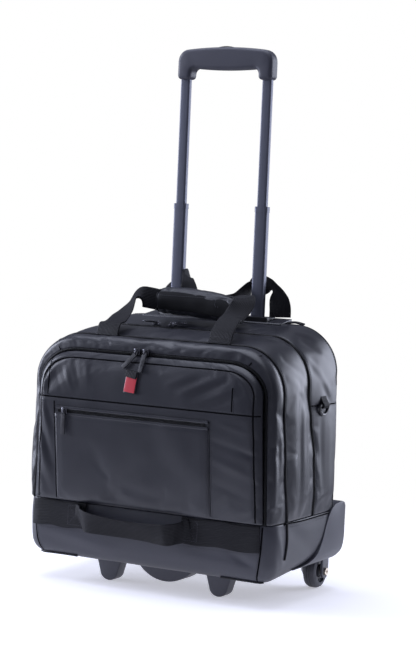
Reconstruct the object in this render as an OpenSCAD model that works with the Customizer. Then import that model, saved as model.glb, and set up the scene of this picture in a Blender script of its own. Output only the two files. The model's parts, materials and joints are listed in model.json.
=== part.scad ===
// Soft two-wheel pilot case with a telescopic trolley handle.
// Origin: floor level, centre of the footprint. +X to the right as seen from
// the front, +Y to the back, +Z up. Left and right are the viewer's. Millimetres.

/* [Body] */
// Outer width at the base
body_w = 442; // [400:1:480]
// Outer width where the top corners begin
shoulder_w = 432; // [390:1:470]
// Height of the top at the back
top_z = 424; // [400:1:450]
// Slope of the top towards the front, degrees
top_slope = 8.4; // [4:0.2:10]
// Radius of the two top corners
corner_r = 72; // [50:1:90]
// Depth of the body in front of the origin
front_d = 118; // [110:1:124]
// Depth of the body behind the origin
back_d = 108; // [106:1:112]
// Underside of the body
base_z = 48; // [44:1:52]
// Seam between the tough lower tub and the upper fabric
seam_z = 132; // [128:1:140]
// Thickness of the padded fabric walls
wall = 4; // [3:0.5:5]

/* [Compartments] */
// Plane of the main zip, behind the origin
zip_y = 6; // [0:1:12]
// Plane of the piping, in front of the origin
piping_y = -84; // [-90:1:-78]
// Plane of the divider between the two compartments
divider_y = -60; // [-70:1:-50]
// Half width of the front pocket at its foot
pocket_low = 206; // [196:1:208]
// Half width of the front pocket at its shoulders
pocket_high = 199; // [190:1:200]
// Top of the front pocket
pocket_top = 372; // [360:1:376]
// How far the filled front pocket bulges
bulge = 19; // [10:1:24]

/* [Trolley] */
// Half the distance between the two tubes
tube_x = 75; // [60:1:85]
// Tube centre, behind the origin
tube_y = 85; // [82:1:87]
// Top end of the lower moving tubes
lower_top = 600; // [560:1:620]
// Underside of the grip's legs
grip_z = 811.5; // [790:0.5:830]
// Half width of the grip
grip_half = 91; // [88:1:96]
// Top of the grip at its middle
grip_top = 864; // [858:1:870]
// Depth of the grip
grip_d = 27; // [24:1:30]

/* [Wheels and feet] */
// Half the distance between the wheels
wheel_x = 184; // [180:1:186]
// Wheel centre, behind the origin
wheel_y = 116; // [112:1:118]
// Wheel radius
wheel_r = 28; // [26:1:30]
// Tyre width
tyre_w = 22; // [18:1:24]
// Half the distance between the feet
foot_x = 94.5; // [85:0.5:105]
// Radius of a wheel bolt
axle_r = 3; // [3:0.5:3.5]

/* [Carry handle] */
// Width of the webbing
web_w = 40; // [34:1:44]
// Half the distance between the strap bases
strap_x = 99; // [92:1:104]
// Half length of the padded wrap
wrap_half = 73; // [68:1:75]
// Top of the wrap
wrap_top = 469; // [464:1:472]

/* [Hidden] */
$fn = 64;

fabric = "#3c3f4e";
tough_fabric = "#64657a";
webbing = "#26262c";
hard_plastic = "#4a4b58";
metal = "#4b4e5a";

gap = 0.3;
far = 600;
low_r = 22;
plan_front_r = 24;
plan_back_r = 14;
edge_r = 34;
panel_foot = 125;
panel_full_z = 290;
outer_tube = [25.4, 17.4];
lower_tube = [21.6, 13.6];
upper_tube = [16.4, 10.2];
foot_y = -46;
tab_y = 40;
well_half = tyre_w / 2 + 3;
ring_z = 304;
ring_r = 2.2;
pin_r = 0.85;
pin_z = 4.9;
main_left_x = -70;
main_right_x = -40;
front_left_x = -25;
front_right_x = -9;
front_slider_y = -front_d - 1.5;
front_slider_z = 377;
pocket_slider_x = -143;
pocket_slider_z = 276;

// Height of the sloping top over a place on the Y axis
function top_at(y) = top_z + (y - back_d) * tan(top_slope);

// Point of a cubic curve through four control points
function cubic(p, t) =
    pow(1 - t, 3) * p[0] + 3 * t * pow(1 - t, 2) * p[1]
    + 3 * t * t * (1 - t) * p[2] + pow(t, 3) * p[3];

// Front face of the filled pocket: a straight slope, then a quarter ellipse
function face_y(z) = z < panel_full_z
    ? -panel_foot - (z - seam_z) * (front_d + bulge - panel_foot) / (panel_full_z - seam_z)
    : -front_d - bulge * sqrt(max(0, 1 - pow((z - panel_full_z) / (pocket_top - panel_full_z), 2)));

pocket_slider_y = face_y(pocket_slider_z) - 1.2;

// Half width of the body at a height
function side_at(z) = body_w / 2
    - (body_w - shoulder_w) / 2 * min(1, (z - base_z) / (top_z - corner_r - base_z));

module slab(y0, y1, z0, z1) {
    translate([-far / 2, y0, z0]) cube([far, y1 - y0, z1 - z0]);
}

// Extrudes a drawing made in X and Z, from y0 to y1
module along_y(y0, y1) {
    translate([0, y1, 0]) rotate([90, 0, 0]) linear_extrude(y1 - y0) children();
}

// Extrudes a drawing made in Y and Z, from x0 to x1
module along_x(x0, x1) {
    translate([x0, 0, 0]) rotate([90, 0, 90]) linear_extrude(x1 - x0) children();
}

module both_sides() {
    children();
    mirror([1, 0, 0]) children();
}

// The arch of the sides and the sloping top, inset by i
module arch_block(i) {
    hi = shoulder_w / 2 - i;
    lo = body_w / 2 - i;
    r = corner_r - i;
    top = top_z * cos(top_slope) - i;
    translate([0, back_d, 0]) rotate([90 + top_slope, 0, 0])
        translate([0, 0, -150]) linear_extrude(500) {
            polygon([[-lo, 0], [lo, 0], [hi, top - r], [-hi, top - r]]);
            translate([-(hi - r), 0]) square([2 * (hi - r), top]);
            for (s = [-1, 1]) translate([s * (hi - r), top - r]) circle(r);
        }
}

// The rounded lower corners seen from the front, inset by i
module front_block(i) {
    half = body_w / 2 - i;
    along_y(-far / 2, far / 2) {
        translate([-half, base_z + low_r]) square([2 * half, far]);
        translate([-half + low_r - i, base_z + i]) square([2 * (half - low_r + i), far]);
        for (s = [-1, 1]) translate([s * (half - low_r + i), base_z + low_r]) circle(low_r - i);
    }
}

// The outline seen from above, inset by i
module plan_block(i) {
    half = body_w / 2 - i;
    linear_extrude(far) {
        translate([-half, -front_d + plan_front_r])
            square([2 * half, front_d + back_d - plan_front_r - plan_back_r]);
        translate([-half + plan_front_r - i, -front_d + i])
            square([2 * (half - plan_front_r + i), plan_front_r + 1]);
        translate([-half + plan_back_r - i, back_d - plan_back_r - 1])
            square([2 * (half - plan_back_r + i), plan_back_r + 1 - i]);
        for (s = [-1, 1]) {
            translate([s * (half - plan_front_r + i), -front_d + plan_front_r])
                circle(plan_front_r - i);
            translate([s * (half - plan_back_r + i), back_d - plan_back_r])
                circle(plan_back_r - i);
        }
    }
}

// The rounded lower front edge seen from the side, inset by i
module side_block(i) {
    along_x(-far / 2, far / 2) {
        translate([-front_d + i, base_z + edge_r]) square([far, far]);
        translate([-front_d + edge_r, base_z + i]) square([far, far]);
        translate([-front_d + edge_r, base_z + edge_r]) circle(edge_r - i);
    }
}

module body_form(i) {
    intersection() {
        arch_block(i);
        front_block(i);
        plan_block(i);
        side_block(i);
    }
}

// The padded wall of the body between two planes
module wall_slice(y0, y1, z0, z1) {
    intersection() {
        difference() {
            body_form(0);
            body_form(wall);
        }
        slab(y0, y1, z0, z1);
    }
}

// A strip laid on the outside of the body, "high" above it
module strip_slice(y0, y1, z0, z1, high) {
    intersection() {
        difference() {
            arch_block(-high);
            arch_block(0);
        }
        slab(y0, y1, z0, z1);
    }
}

// Holes for the two tubes, "size" wide and deep
module tube_holes(size, z0, z1) {
    both_sides() translate([tube_x - size[0] / 2, tube_y - size[1] / 2, z0])
        cube([size[0], size[1], z1 - z0]);
}

module tube_bar(size, inner, z0, z1) {
    translate([tube_x, tube_y, z0]) linear_extrude(z1 - z0) difference() {
        square(size, center = true);
        square(inner, center = true);
    }
}

// ---- case ----

module main_gusset() {
    color(fabric) difference() {
        wall_slice(zip_y + gap / 2, back_d - plan_back_r, seam_z, far);
        tube_holes(outer_tube + [0.6, 0.6], 300, far);
        both_sides() housing_block(150 - gap, gap);
    }
}

module back_panel() {
    color(fabric) difference() {
        wall_slice(back_d - plan_back_r, back_d + 1, seam_z, far);
        both_sides() housing_block(150 - gap, gap);
        // clear of the housings' tops, which rise behind the panel
        both_sides() translate([150 - gap, back_d - 20, seam_z - 1]) cube([80, 30, 14.5]);
    }
}

module base_tub() {
    color(tough_fabric) difference() {
        wall_slice(-front_d - 1, back_d + 1, 0, seam_z);
        both_sides() housing_block(150 - gap, gap);
        both_sides() wheel_well(well_half + 4 + gap, wheel_r + 4);
    }
}

module back_board() {
    color("#2b2b30") difference() {
        translate([0, 0, 56]) along_y(99.5, 103.8) {
            translate([-195, 0]) square([390, 270]);
            translate([-165, 0]) square([330, 300]);
            for (s = [-1, 1]) translate([s * 165, 270]) circle(30);
        }
        both_sides() translate([150 - gap, 90, 50]) cube([80, 20, 96]);
    }
}

module base_board() {
    color("#2b2b30") translate([-148, -84, base_z + wall]) cube([296, 183, 2.5]);
}

// Fabric tray that keeps the tubes apart from the main compartment
module tube_cover() {
    color(fabric) difference() {
        translate([-112, 67, 60]) cube([224, 32, 350]);
        translate([-110, 69, 59]) cube([220, 31, 352]);
    }
}

// Side outline of the wheel housing, with its curved front edge
module housing_outline(grow) {
    front_edge = [[98, 142], [44, 118], [82, 52], [-33, 53]];
    back_edge = [[105, 55], [128, 58], [136, 74], [136, 92]];
    offset_pts = [for (t = [0:1 / 12:1]) cubic(front_edge, t) - [grow, 0]];
    polygon(concat(
        [[124, 144], [133, 141], [136, 135]],
        [for (t = [1:-1 / 8:0]) cubic(back_edge, t)],
        [for (k = [len(offset_pts) - 1:-1:0]) offset_pts[k]]
    ));
}

module housing_block(x0, grow) {
    intersection() {
        along_x(x0, body_w / 2 + 2) housing_outline(grow);
        front_block(-2);
    }
}

// Round space for a wheel, "half" wide to each side of it
module wheel_well(half, r) {
    translate([wheel_x - half, wheel_y, wheel_r]) rotate([0, 90, 0]) cylinder(r = r, h = 2 * half);
}

module wheel_housing() {
    shell = 3;
    color(hard_plastic) {
        difference() {
            housing_block(150, 0);
            // hollow inside, open into the wheel well
            translate([-shell, 0, 0]) intersection() {
                along_x(150 + 2 * shell, body_w / 2 + 2) translate([98, 98]) scale(0.93)
                    translate([-98, -98]) housing_outline(0);
                front_block(1);
            }
            // well for the wheel
            wheel_well(well_half, wheel_r + 3.5);
            translate([wheel_x - well_half, wheel_y - 20, base_z]) cube([2 * well_half, 60, 8]);
        }
        // cheeks that carry the wheel bolt
        for (x = [wheel_x - well_half - 4, wheel_x + well_half]) difference() {
            union() {
                translate([x, wheel_y, wheel_r]) rotate([0, 90, 0]) cylinder(r = 11, h = 4);
                translate([x, wheel_y - 11, wheel_r]) cube([4, 22, 36]);
            }
            translate([x - 1, wheel_y, wheel_r]) rotate([0, 90, 0])
                cylinder(r = axle_r + 0.1, h = 6);
        }
    }
}

module wheel_housing_left() {
    mirror([1, 0, 0]) wheel_housing();
}

module wheel_housing_right() {
    wheel_housing();
}

module axle_bolts() {
    reach = tyre_w / 2 + 7;
    color("#a08068") both_sides() translate([wheel_x, wheel_y, wheel_r]) rotate([0, 90, 0]) {
        translate([0, 0, -reach - 6]) cylinder(r = axle_r, h = 2 * reach + 6);
        difference() {
            translate([0, 0, reach]) cylinder(r = 6, h = 3);
            translate([0, 0, reach + 1.2]) cylinder(r = 2.3, h = 3, $fn = 6);
        }
    }
}

module axle_nuts() {
    reach = tyre_w / 2 + 7;
    color("silver") both_sides() translate([wheel_x, wheel_y, wheel_r]) rotate([0, 90, 0])
        difference() {
            translate([0, 0, -reach - 5]) cylinder(r = 6, h = 5, $fn = 6);
            translate([0, 0, -reach - 6]) cylinder(r = axle_r, h = 8);
        }
}

module front_feet() {
    round_r = 23;
    color(hard_plastic) both_sides() translate([foot_x, 0, 0])
        along_y(foot_y - 12, foot_y + 12) {
            polygon([[-29, base_z], [29, base_z], [22.6, 20], [-22.6, 20]]);
            // the round end is cut to a small flat pad at floor level
            intersection() {
                translate([0, round_r - 0.6]) circle(round_r);
                translate([-30, 0]) square([60, base_z]);
            }
        }
}

// Moulded hand grip under the base, open at the back
module bottom_grip() {
    arc_r = 65;
    color(hard_plastic) difference() {
        intersection() {
            along_y(-50, -14) translate([0, 10 + arc_r]) circle(arc_r, $fn = 128);
            slab(-60, 0, 0, base_z);
        }
        intersection() {
            along_y(-46, 0) translate([0, 10 + arc_r]) circle(arc_r - 4, $fn = 128);
            slab(-60, 0, 0, base_z - 4);
        }
    }
}

module outer_tube() {
    color(metal) tube_bar(outer_tube, lower_tube + [0.8, 0.8], 60, 428);
}

module outer_tube_left() {
    mirror([1, 0, 0]) outer_tube();
}

module outer_tube_right() {
    outer_tube();
}

module tube_bracket() {
    color(hard_plastic) difference() {
        translate([-95, 73, base_z + wall + 2.5]) cube([190, 25, 24]);
        tube_holes(outer_tube + [0.2, 0.2], 60, 100);
    }
}

// Raised fabric platform around the trolley's bezel
module top_rim() {
    high = 7;
    color(fabric) difference() {
        along_x(-128, 128) polygon([
            [62, top_at(62)], [back_d - 3, top_at(back_d - 3)],
            [back_d - 3, top_at(back_d - 3) + high], [62, top_at(62) + high]
        ]);
        translate([-100, 70, 380]) cube([200, 30, 100]);
    }
}

module trolley_bezel() {
    bezel_top = 432;
    color("#1c1c20") difference() {
        along_x(-100 + gap, 100 - gap) polygon([
            [70 + gap, top_at(70) + 0.1], [100 - gap, top_at(100) + 0.1],
            [100 - gap, bezel_top], [70 + gap, bezel_top]
        ]);
        tube_holes(outer_tube + [0.2, 0.2], 300, 428.2);
        tube_holes(lower_tube + [0.8, 0.8], 300, 500);
    }
}

// A flat stretch of webbing from one end block to another
module web_leg(a, size_a, b, size_b) {
    hull() {
        translate(a) cube(size_a, center = true);
        translate(b) cube(size_b, center = true);
    }
}

// Two strap legs from the back edge, joined inside the wrap. The left leg runs
// in front of its tube, the right leg behind its own.
module rear_straps() {
    flat = [web_w * 0.6, 3, 3];
    upright = [3, 22, 3];
    edge = [4, 3, 22];
    foot_z = top_at(100) + 10;
    foot_back = 102.5;
    inside = [56, 54, 449];
    color(webbing) {
        web_leg([-106, foot_back, foot_z], flat, [-104, 92, 468], upright);
        web_leg([-104, 92, 468], upright, [-98, 64, 482], upright);
        web_leg([-98, 64, 482], upright, [-inside[0], inside[1], inside[2]], edge);
        web_leg([106, foot_back, foot_z], flat, [101, 102, 482], upright);
        web_leg([101, 102, 482], upright, [50, 98, 474], edge);
        web_leg([50, 98, 474], edge, inside, edge);
        for (s = [-1, 1]) translate([s * inside[0] - 2, 34.5, inside[2] - 11])
            cube([4, 21, 22]);
        translate([-inside[0], 34.5, inside[2] - 11]) cube([2 * inside[0], 3, 22]);
    }
}

module webbing_band() {
    color(webbing) {
        translate([-192, -front_d - 3, 89]) cube([192 - 116, 3, 41]);
        translate([70, -front_d - 3, 89]) cube([192 - 70, 3, 41]);
    }
}

// Free stretch of the band, which stands proud as a lifting loop
module grab_loop() {
    left = -116 + gap;
    right = 70 - gap;
    thick = 3.5;
    proud = 24;
    run = 16;
    color(webbing) translate([0, 0, 89]) linear_extrude(38) difference() {
        polygon([
            [left, -front_d], [left + run, -front_d - proud],
            [right - run, -front_d - proud], [right, -front_d]
        ]);
        polygon([
            [left + thick, -front_d + 1], [left + run + 2, -front_d - proud + thick],
            [right - run - 2, -front_d - proud + thick], [right - thick, -front_d + 1]
        ]);
    }
}

// Webbing tabs that hold the shoulder strap rings
module ring_tabs() {
    x0 = side_at(ring_z + 24) + 0.6;
    color(webbing) both_sides() difference() {
        union() {
            translate([x0 - 0.3, tab_y - 10, ring_z]) cube([3, 20, 22]);
            translate([x0 + 5, tab_y - 10, ring_z]) rotate([-90, 0, 0]) cylinder(r = 4.6, h = 20);
        }
        translate([x0 + 5, tab_y - 20, ring_z]) rotate([-90, 0, 0])
            cylinder(r = ring_r + 0.08, h = 40);
    }
}

module d_ring() {
    arm = 15;
    x0 = side_at(ring_z + 24) + 0.6;
    color("#222226") translate([x0 + 5, tab_y, ring_z]) {
        rotate([-90, 0, 0]) translate([0, 0, -arm]) cylinder(r = ring_r, h = 2 * arm);
        rotate([0, 90, 0]) rotate([0, 0, -90]) rotate_extrude(angle = 180)
            translate([arm, 0]) circle(ring_r);
    }
}

module d_ring_left() {
    mirror([1, 0, 0]) d_ring();
}

module d_ring_right() {
    d_ring();
}

module main_zip() {
    color("#15151a") strip_slice(zip_y + gap / 2, zip_y + 4, seam_z, far, 1);
}

module housing_screws() {
    color("silver") both_sides() for (y = [66, 90], z = [64, 84])
        translate([150, y, z]) rotate([0, -90, 0]) cylinder(r = 3.2, h = 2);
}

// ---- front half ----

module middle_gusset() {
    color(fabric) wall_slice(piping_y, zip_y - gap / 2, seam_z + 0.6, far);
}

module front_gusset() {
    color(fabric) difference() {
        wall_slice(-front_d - 1, piping_y, seam_z + 0.6, far);
        along_y(-front_d - 2, -front_d + wall + 1) pocket_outline(10);
    }
}

module divider_panel() {
    color("#2f313b") intersection() {
        body_form(wall + gap);
        slab(divider_y, divider_y + 2.5, seam_z + 4, far);
    }
}

module piping() {
    color("#101014") intersection() {
        difference() {
            arch_block(-2.2);
            arch_block(0);
        }
        slab(piping_y - 4, piping_y, seam_z + 0.6, far);
    }
}

// Outline of the front pocket seen from the front, inset by i
module pocket_outline(i) {
    r = 42;
    lo = pocket_low - i;
    hi = pocket_high - i;
    top = pocket_top - i;
    polygon([[-lo, seam_z + 1], [lo, seam_z + 1], [hi, top - r], [-hi, top - r]]);
    translate([-(hi - r), seam_z + 1]) square([2 * (hi - r), top - seam_z - 1]);
    for (s = [-1, 1]) translate([s * (hi - r), top - r]) circle(r);
}

module front_zip() {
    color("#15151a") along_y(-front_d - 1.2, -front_d) difference() {
        pocket_outline(-4);
        pocket_outline(-gap);
    }
}

module front_straps() {
    flat = [web_w, 2, 2.5];
    fold = [web_w * 0.9, 3, 3];
    end = [3, 6, 20];
    foot_front = piping_y + 3;
    foot_back = -56;
    sewn = [strap_x, foot_back, top_at(foot_back) + 2];
    color(webbing) {
        both_sides() {
            web_leg([strap_x, foot_front, top_at(foot_front) + 2], flat, sewn, flat);
            web_leg(sewn, flat, [strap_x, foot_back, 436], fold);
            web_leg([strap_x, foot_back, 436], fold, [wrap_half + 6, 18, 450], end);
        }
        translate([-wrap_half - 6, 16.5, 440]) cube([2 * wrap_half + 12, 3, 20]);
    }
}

// Padded sleeve around the handle straps, open at the back
module handle_wrap() {
    wrap_low = wrap_top - 40;
    color("#2a2a32") difference() {
        along_x(-wrap_half, wrap_half) wrap_outline(0, wrap_low);
        along_x(-far, far) wrap_outline(4.5, wrap_low);
        translate([-far / 2, 40, wrap_low + 7]) cube([far, 30, 26]);
    }
}

// Rounded cross-section of the wrap, inset by i
module wrap_outline(i, low) {
    r = 13;
    translate([11 + i, low + r]) square([37 - 2 * i, 40 - 2 * r]);
    translate([11 + r, low + i]) square([37 - 2 * r, 40 - 2 * i]);
    for (y = [11 + r, 48 - r], z = [low + r, wrap_top - r]) translate([y, z]) circle(r - i);
}

module wrap_flap() {
    high = 30;
    color("#101014") along_y(7, 10.4) translate([0, wrap_top - 4 - high]) {
        translate([-68, 0]) square([120, high]);
        translate([52, high / 2]) circle(high / 2);
    }
}

// ---- front pocket ----

// Everything behind the bulged face moved out by "grow", to the plane y1
module face_block(grow, y1) {
    step = (pocket_top - panel_full_z) / 12;
    along_x(-far / 2, far / 2) polygon(concat(
        [[y1, seam_z - 1], [face_y(seam_z) - grow, seam_z - 1]],
        [[face_y(panel_full_z) - grow, panel_full_z]],
        [for (k = [1:12]) [face_y(panel_full_z + k * step) - grow, panel_full_z + k * step]],
        [[-front_d - grow, pocket_top + 20], [y1, pocket_top + 20]]
    ));
}

module front_panel() {
    color(fabric) difference() {
        intersection() {
            along_y(-160, -front_d - gap) pocket_outline(0);
            face_block(0, -front_d - gap);
        }
        intersection() {
            along_y(-160, -100) pocket_outline(wall);
            face_block(-wall, -100);
        }
    }
}

// A thin patch that follows the bulged face, from "inner" to "outer" above it
module face_patch(x0, x1, z0, z1, inner, outer) {
    intersection() {
        difference() {
            face_block(outer, -100);
            face_block(inner, -90);
        }
        translate([x0, -160, z0]) cube([x1 - x0, 70, z1 - z0]);
    }
}

module flat_pocket() {
    color(fabric) face_patch(-162, 114, seam_z + 1, 271, 0, 1.8);
}

module pocket_zip() {
    color("#15151a") face_patch(-155, 108, 273, 279, 0, 0.8);
}

module label() {
    color("#c83c46") face_patch(-34.5, -14.5, 314, 345, 0.1, 1.5);
}

// ---- zip sliders and pulls ----

// Slider body lying on the XY plane, with an eye for the pull's pin. The eye's
// hole runs along Y, or along X when it is turned.
module slider_body(turn = 0) {
    color("#1d1d22") {
        translate([-5, -4.5, 0]) cube([10, 9, 3.4]);
        rotate([0, 0, turn]) difference() {
            translate([-3.4, -1.2, 3.4]) cube([6.8, 2.4, 3.2]);
            translate([0, -10, pin_z]) rotate([-90, 0, 0]) cylinder(r = pin_r + 0.05, h = 20);
        }
    }
}

// Pull tab lying along +X from its pin at the origin, with the tab turned
// sideways by "splay" degrees
module pull_tab(long, wide, splay = 0) {
    fork = 5;
    color("#1d1d22") {
        translate([0, -2.6, 0]) rotate([-90, 0, 0]) cylinder(r = pin_r, h = 5.2);
        for (s = [-1, 1]) translate([0, s * 2.2 - 0.6, -0.6]) cube([fork + 1, 1.2, 1.6]);
        translate([fork, 0, -0.6]) rotate([0, 0, splay]) {
            translate([0, -wide / 2, 0]) cube([long - fork, wide, 2.6]);
        }
    }
}

// Places a slider on the main zip's straight run over the top
module on_top(x) {
    translate([x, zip_y + 6, top_at(zip_y + 6) + 1.4]) rotate([top_slope, 0, 0]) children();
}

// Places a slider upright on the front, its base at the plane y
module on_front(x, y, z) {
    translate([x, y, z]) rotate([90, 0, 0]) children();
}

// Places a pull so that it hangs from a slider on the front, leaning outwards
module hanging(x, y, z, lean) {
    translate([x, y - pin_z, z]) rotate([-lean, 0, 0]) rotate([0, 90, 0]) rotate([90, 0, 0])
        children();
}

module main_slider_left() {
    on_top(main_left_x) slider_body();
}

module main_slider_right() {
    on_top(main_right_x) slider_body();
}

module main_pull_left() {
    on_top(main_left_x) translate([0, 0, pin_z]) rotate([0, 0, 180]) pull_tab(24, 6);
}

module main_pull_right() {
    on_top(main_right_x) translate([0, 0, pin_z]) pull_tab(24, 6);
}

module front_slider_left() {
    on_front(front_left_x, front_slider_y, front_slider_z) slider_body(90);
}

module front_slider_right() {
    on_front(front_right_x, front_slider_y, front_slider_z) slider_body(90);
}

module front_pull_left() {
    hanging(front_left_x, front_slider_y, front_slider_z, 24) pull_tab(33, 7, -36);
}

module front_pull_right() {
    hanging(front_right_x, front_slider_y, front_slider_z, 24) pull_tab(33, 7);
}

module pocket_slider() {
    on_front(pocket_slider_x, pocket_slider_y, pocket_slider_z) slider_body(90);
}

module pocket_pull() {
    hanging(pocket_slider_x, pocket_slider_y, pocket_slider_z, 0) pull_tab(37, 7);
}

// ---- wheels ----

module wheel_at(side) {
    translate([side * wheel_x, wheel_y, wheel_r]) rotate([0, 90, 0]) children();
}

module hub(side) {
    color("#3a3b44") wheel_at(side) difference() {
        union() {
            translate([0, 0, -tyre_w / 2]) cylinder(r = 11, h = tyre_w);
            translate([0, 0, -tyre_w / 2 + 4]) cylinder(r = 19, h = tyre_w - 8);
        }
        translate([0, 0, -20]) cylinder(r = 7, h = 40);
        for (k = [0:4]) rotate([0, 0, 72 * k]) translate([15, 0, -20]) cylinder(r = 2.2, h = 40);
    }
}

module tyre(side) {
    round_r = 6;
    color("#3d3f4d") wheel_at(side) rotate_extrude() difference() {
        union() {
            translate([19, -tyre_w / 2]) square([wheel_r - 19 - round_r, tyre_w]);
            translate([19, -tyre_w / 2 + round_r]) square([wheel_r - 19, tyre_w - 2 * round_r]);
            for (s = [-1, 1]) translate([wheel_r - round_r, s * (tyre_w / 2 - round_r)])
                circle(round_r);
        }
        translate([10, -20]) square([9, 40]);
    }
}

module bearings(side) {
    color("silver") wheel_at(side) for (s = [-1, 1])
        translate([0, 0, s * (tyre_w / 2 - 3) - 3]) difference() {
            cylinder(r = 7, h = 6);
            translate([0, 0, -1]) cylinder(r = axle_r + 0.05, h = 8);
        }
}

module wheel_hub_left() {
    hub(-1);
}

module wheel_hub_right() {
    hub(1);
}

module tyre_left() {
    tyre(-1);
}

module tyre_right() {
    tyre(1);
}

module bearings_left() {
    bearings(-1);
}

module bearings_right() {
    bearings(1);
}

// ---- trolley ----

module lower_tubes() {
    color(metal) both_sides() tube_bar(lower_tube, upper_tube + [2.4, 0.6], 262, lower_top);
}

module tube_collars() {
    color("#1c1c20") both_sides()
        tube_bar([24.4, 16.4], upper_tube + [0.5, 0.5], lower_top, lower_top + 9);
}

module upper_tubes() {
    color(metal) both_sides() tube_bar(upper_tube, upper_tube - [2.8, 2.8], 530, grip_z + 20);
}

module grip_shell() {
    bow_r = 455;
    r = 20;
    leg = 57;
    color("#3a3c4c") difference() {
        along_y(tube_y - grip_d / 2, tube_y + grip_d / 2) difference() {
            intersection() {
                union() {
                    translate([-grip_half, grip_z]) square([2 * grip_half, 52.5 - r]);
                    translate([-grip_half + r, grip_z]) square([2 * (grip_half - r), 60]);
                    for (s = [-1, 1]) translate([s * (grip_half - r), grip_z + 50 - r]) circle(r);
                }
                translate([0, grip_top - bow_r]) circle(bow_r, $fn = 256);
            }
            translate([-leg, grip_z - 1]) square([2 * leg, 12]);
            translate([-leg + 7, grip_z - 1]) square([2 * leg - 14, 19]);
            for (s = [-1, 1]) translate([s * (leg - 7), grip_z + 11]) circle(7);
        }
        tube_holes(upper_tube + [0.1, 0.1], grip_z - 1, grip_z + 20);
        translate([-82, tube_y - 7, grip_z + 20]) cube([164, 14, 18]);
        translate([-16.4, tube_y - 6.9, grip_z + 30]) cube([32.8, 13.8, 40]);
    }
}

module push_button() {
    color("#17171b") {
        intersection() {
            translate([-16, tube_y - 6.5, grip_top - 12]) cube([32, 13, 14]);
            along_y(tube_y - 10, tube_y + 10) translate([0, grip_top + 1.6 - 60])
                circle(60, $fn = 128);
        }
        translate([0, tube_y, grip_z + 31.6]) cylinder(r = 4, h = 10);
    }
}

// Bar under the button and the two long rods inside the tubes
module release_rods() {
    color("silver") {
        translate([-80, tube_y - 4, grip_z + 26.6]) cube([160, 8, 5]);
        both_sides() translate([tube_x, tube_y, 545]) cylinder(r = 2, h = grip_z + 26.6 - 545);
    }
}

module button_spring() {
    color("silver") translate([0, tube_y, grip_z + 20.1]) difference() {
        cylinder(r = 4.5, h = 6.4);
        translate([0, 0, -1]) cylinder(r = 3.5, h = 9);
    }
}

main_gusset();
back_panel();
base_tub();
back_board();
base_board();
tube_cover();
wheel_housing_left();
wheel_housing_right();
axle_bolts();
axle_nuts();
front_feet();
bottom_grip();
outer_tube_left();
outer_tube_right();
tube_bracket();
trolley_bezel();
top_rim();
rear_straps();
webbing_band();
grab_loop();
ring_tabs();
main_zip();
housing_screws();
middle_gusset();
front_gusset();
divider_panel();
piping();
front_zip();
front_straps();
handle_wrap();
wrap_flap();
front_panel();
flat_pocket();
pocket_zip();
label();
main_slider_left();
main_slider_right();
main_pull_left();
main_pull_right();
front_slider_left();
front_slider_right();
front_pull_left();
front_pull_right();
pocket_slider();
pocket_pull();
d_ring_left();
d_ring_right();
wheel_hub_left();
wheel_hub_right();
tyre_left();
tyre_right();
bearings_left();
bearings_right();
lower_tubes();
tube_collars();
upper_tubes();
grip_shell();
push_button();
release_rods();
button_spring();
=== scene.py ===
"""Looks of a soft two-wheel pilot case with a telescopic trolley handle.

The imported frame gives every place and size. Soft goods are laid out as sheets on the case's own form, swelled
by cloth simulation, thickened and seamed; hard parts are moulded from the frame's solids with rounded edges.
"""

import json
import logging
import math
from dataclasses import dataclass
from enum import Enum
from typing import Callable

import bmesh
import bpy
from mathutils import Matrix, Vector, noise
from mathutils.bvhtree import BVHTree


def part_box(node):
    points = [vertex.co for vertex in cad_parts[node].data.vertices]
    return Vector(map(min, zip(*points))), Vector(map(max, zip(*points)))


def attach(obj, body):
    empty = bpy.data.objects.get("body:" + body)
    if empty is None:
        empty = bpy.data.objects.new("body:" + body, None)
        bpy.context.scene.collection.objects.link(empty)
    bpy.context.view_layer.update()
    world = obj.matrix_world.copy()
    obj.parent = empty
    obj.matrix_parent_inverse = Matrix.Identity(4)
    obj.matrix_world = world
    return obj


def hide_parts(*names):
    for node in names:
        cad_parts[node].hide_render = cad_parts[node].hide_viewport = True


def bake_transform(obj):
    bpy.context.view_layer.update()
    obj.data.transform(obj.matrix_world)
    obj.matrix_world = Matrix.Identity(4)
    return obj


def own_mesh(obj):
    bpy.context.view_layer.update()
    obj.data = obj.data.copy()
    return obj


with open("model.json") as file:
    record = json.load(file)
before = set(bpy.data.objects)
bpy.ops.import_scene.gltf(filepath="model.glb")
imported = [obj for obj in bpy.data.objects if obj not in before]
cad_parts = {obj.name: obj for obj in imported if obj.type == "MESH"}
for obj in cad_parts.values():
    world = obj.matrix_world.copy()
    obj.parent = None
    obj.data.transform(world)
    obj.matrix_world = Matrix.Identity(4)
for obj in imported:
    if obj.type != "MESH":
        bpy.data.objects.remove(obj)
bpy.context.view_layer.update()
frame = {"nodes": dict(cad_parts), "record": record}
LOG = logging.getLogger("pilot_case")
MM = 0.001

Curve = Callable[[float], float]
Path3 = list[Vector]
Knot = tuple[tuple[float, float, float], tuple[float, float, float]]
Piece = bpy.types.Object
Tree = bpy.types.NodeTree
Node = bpy.types.Node
Socket = bpy.types.NodeSocket


class Surface(Enum):
    """Kinds of fine relief that a finish can have."""

    COATED = "coated"
    WOVEN = "woven"
    WEBBING = "webbing"
    MOULDED = "moulded"
    BRUSHED = "brushed"


# ---------------------------------------------------------------- shared shader groups


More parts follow.
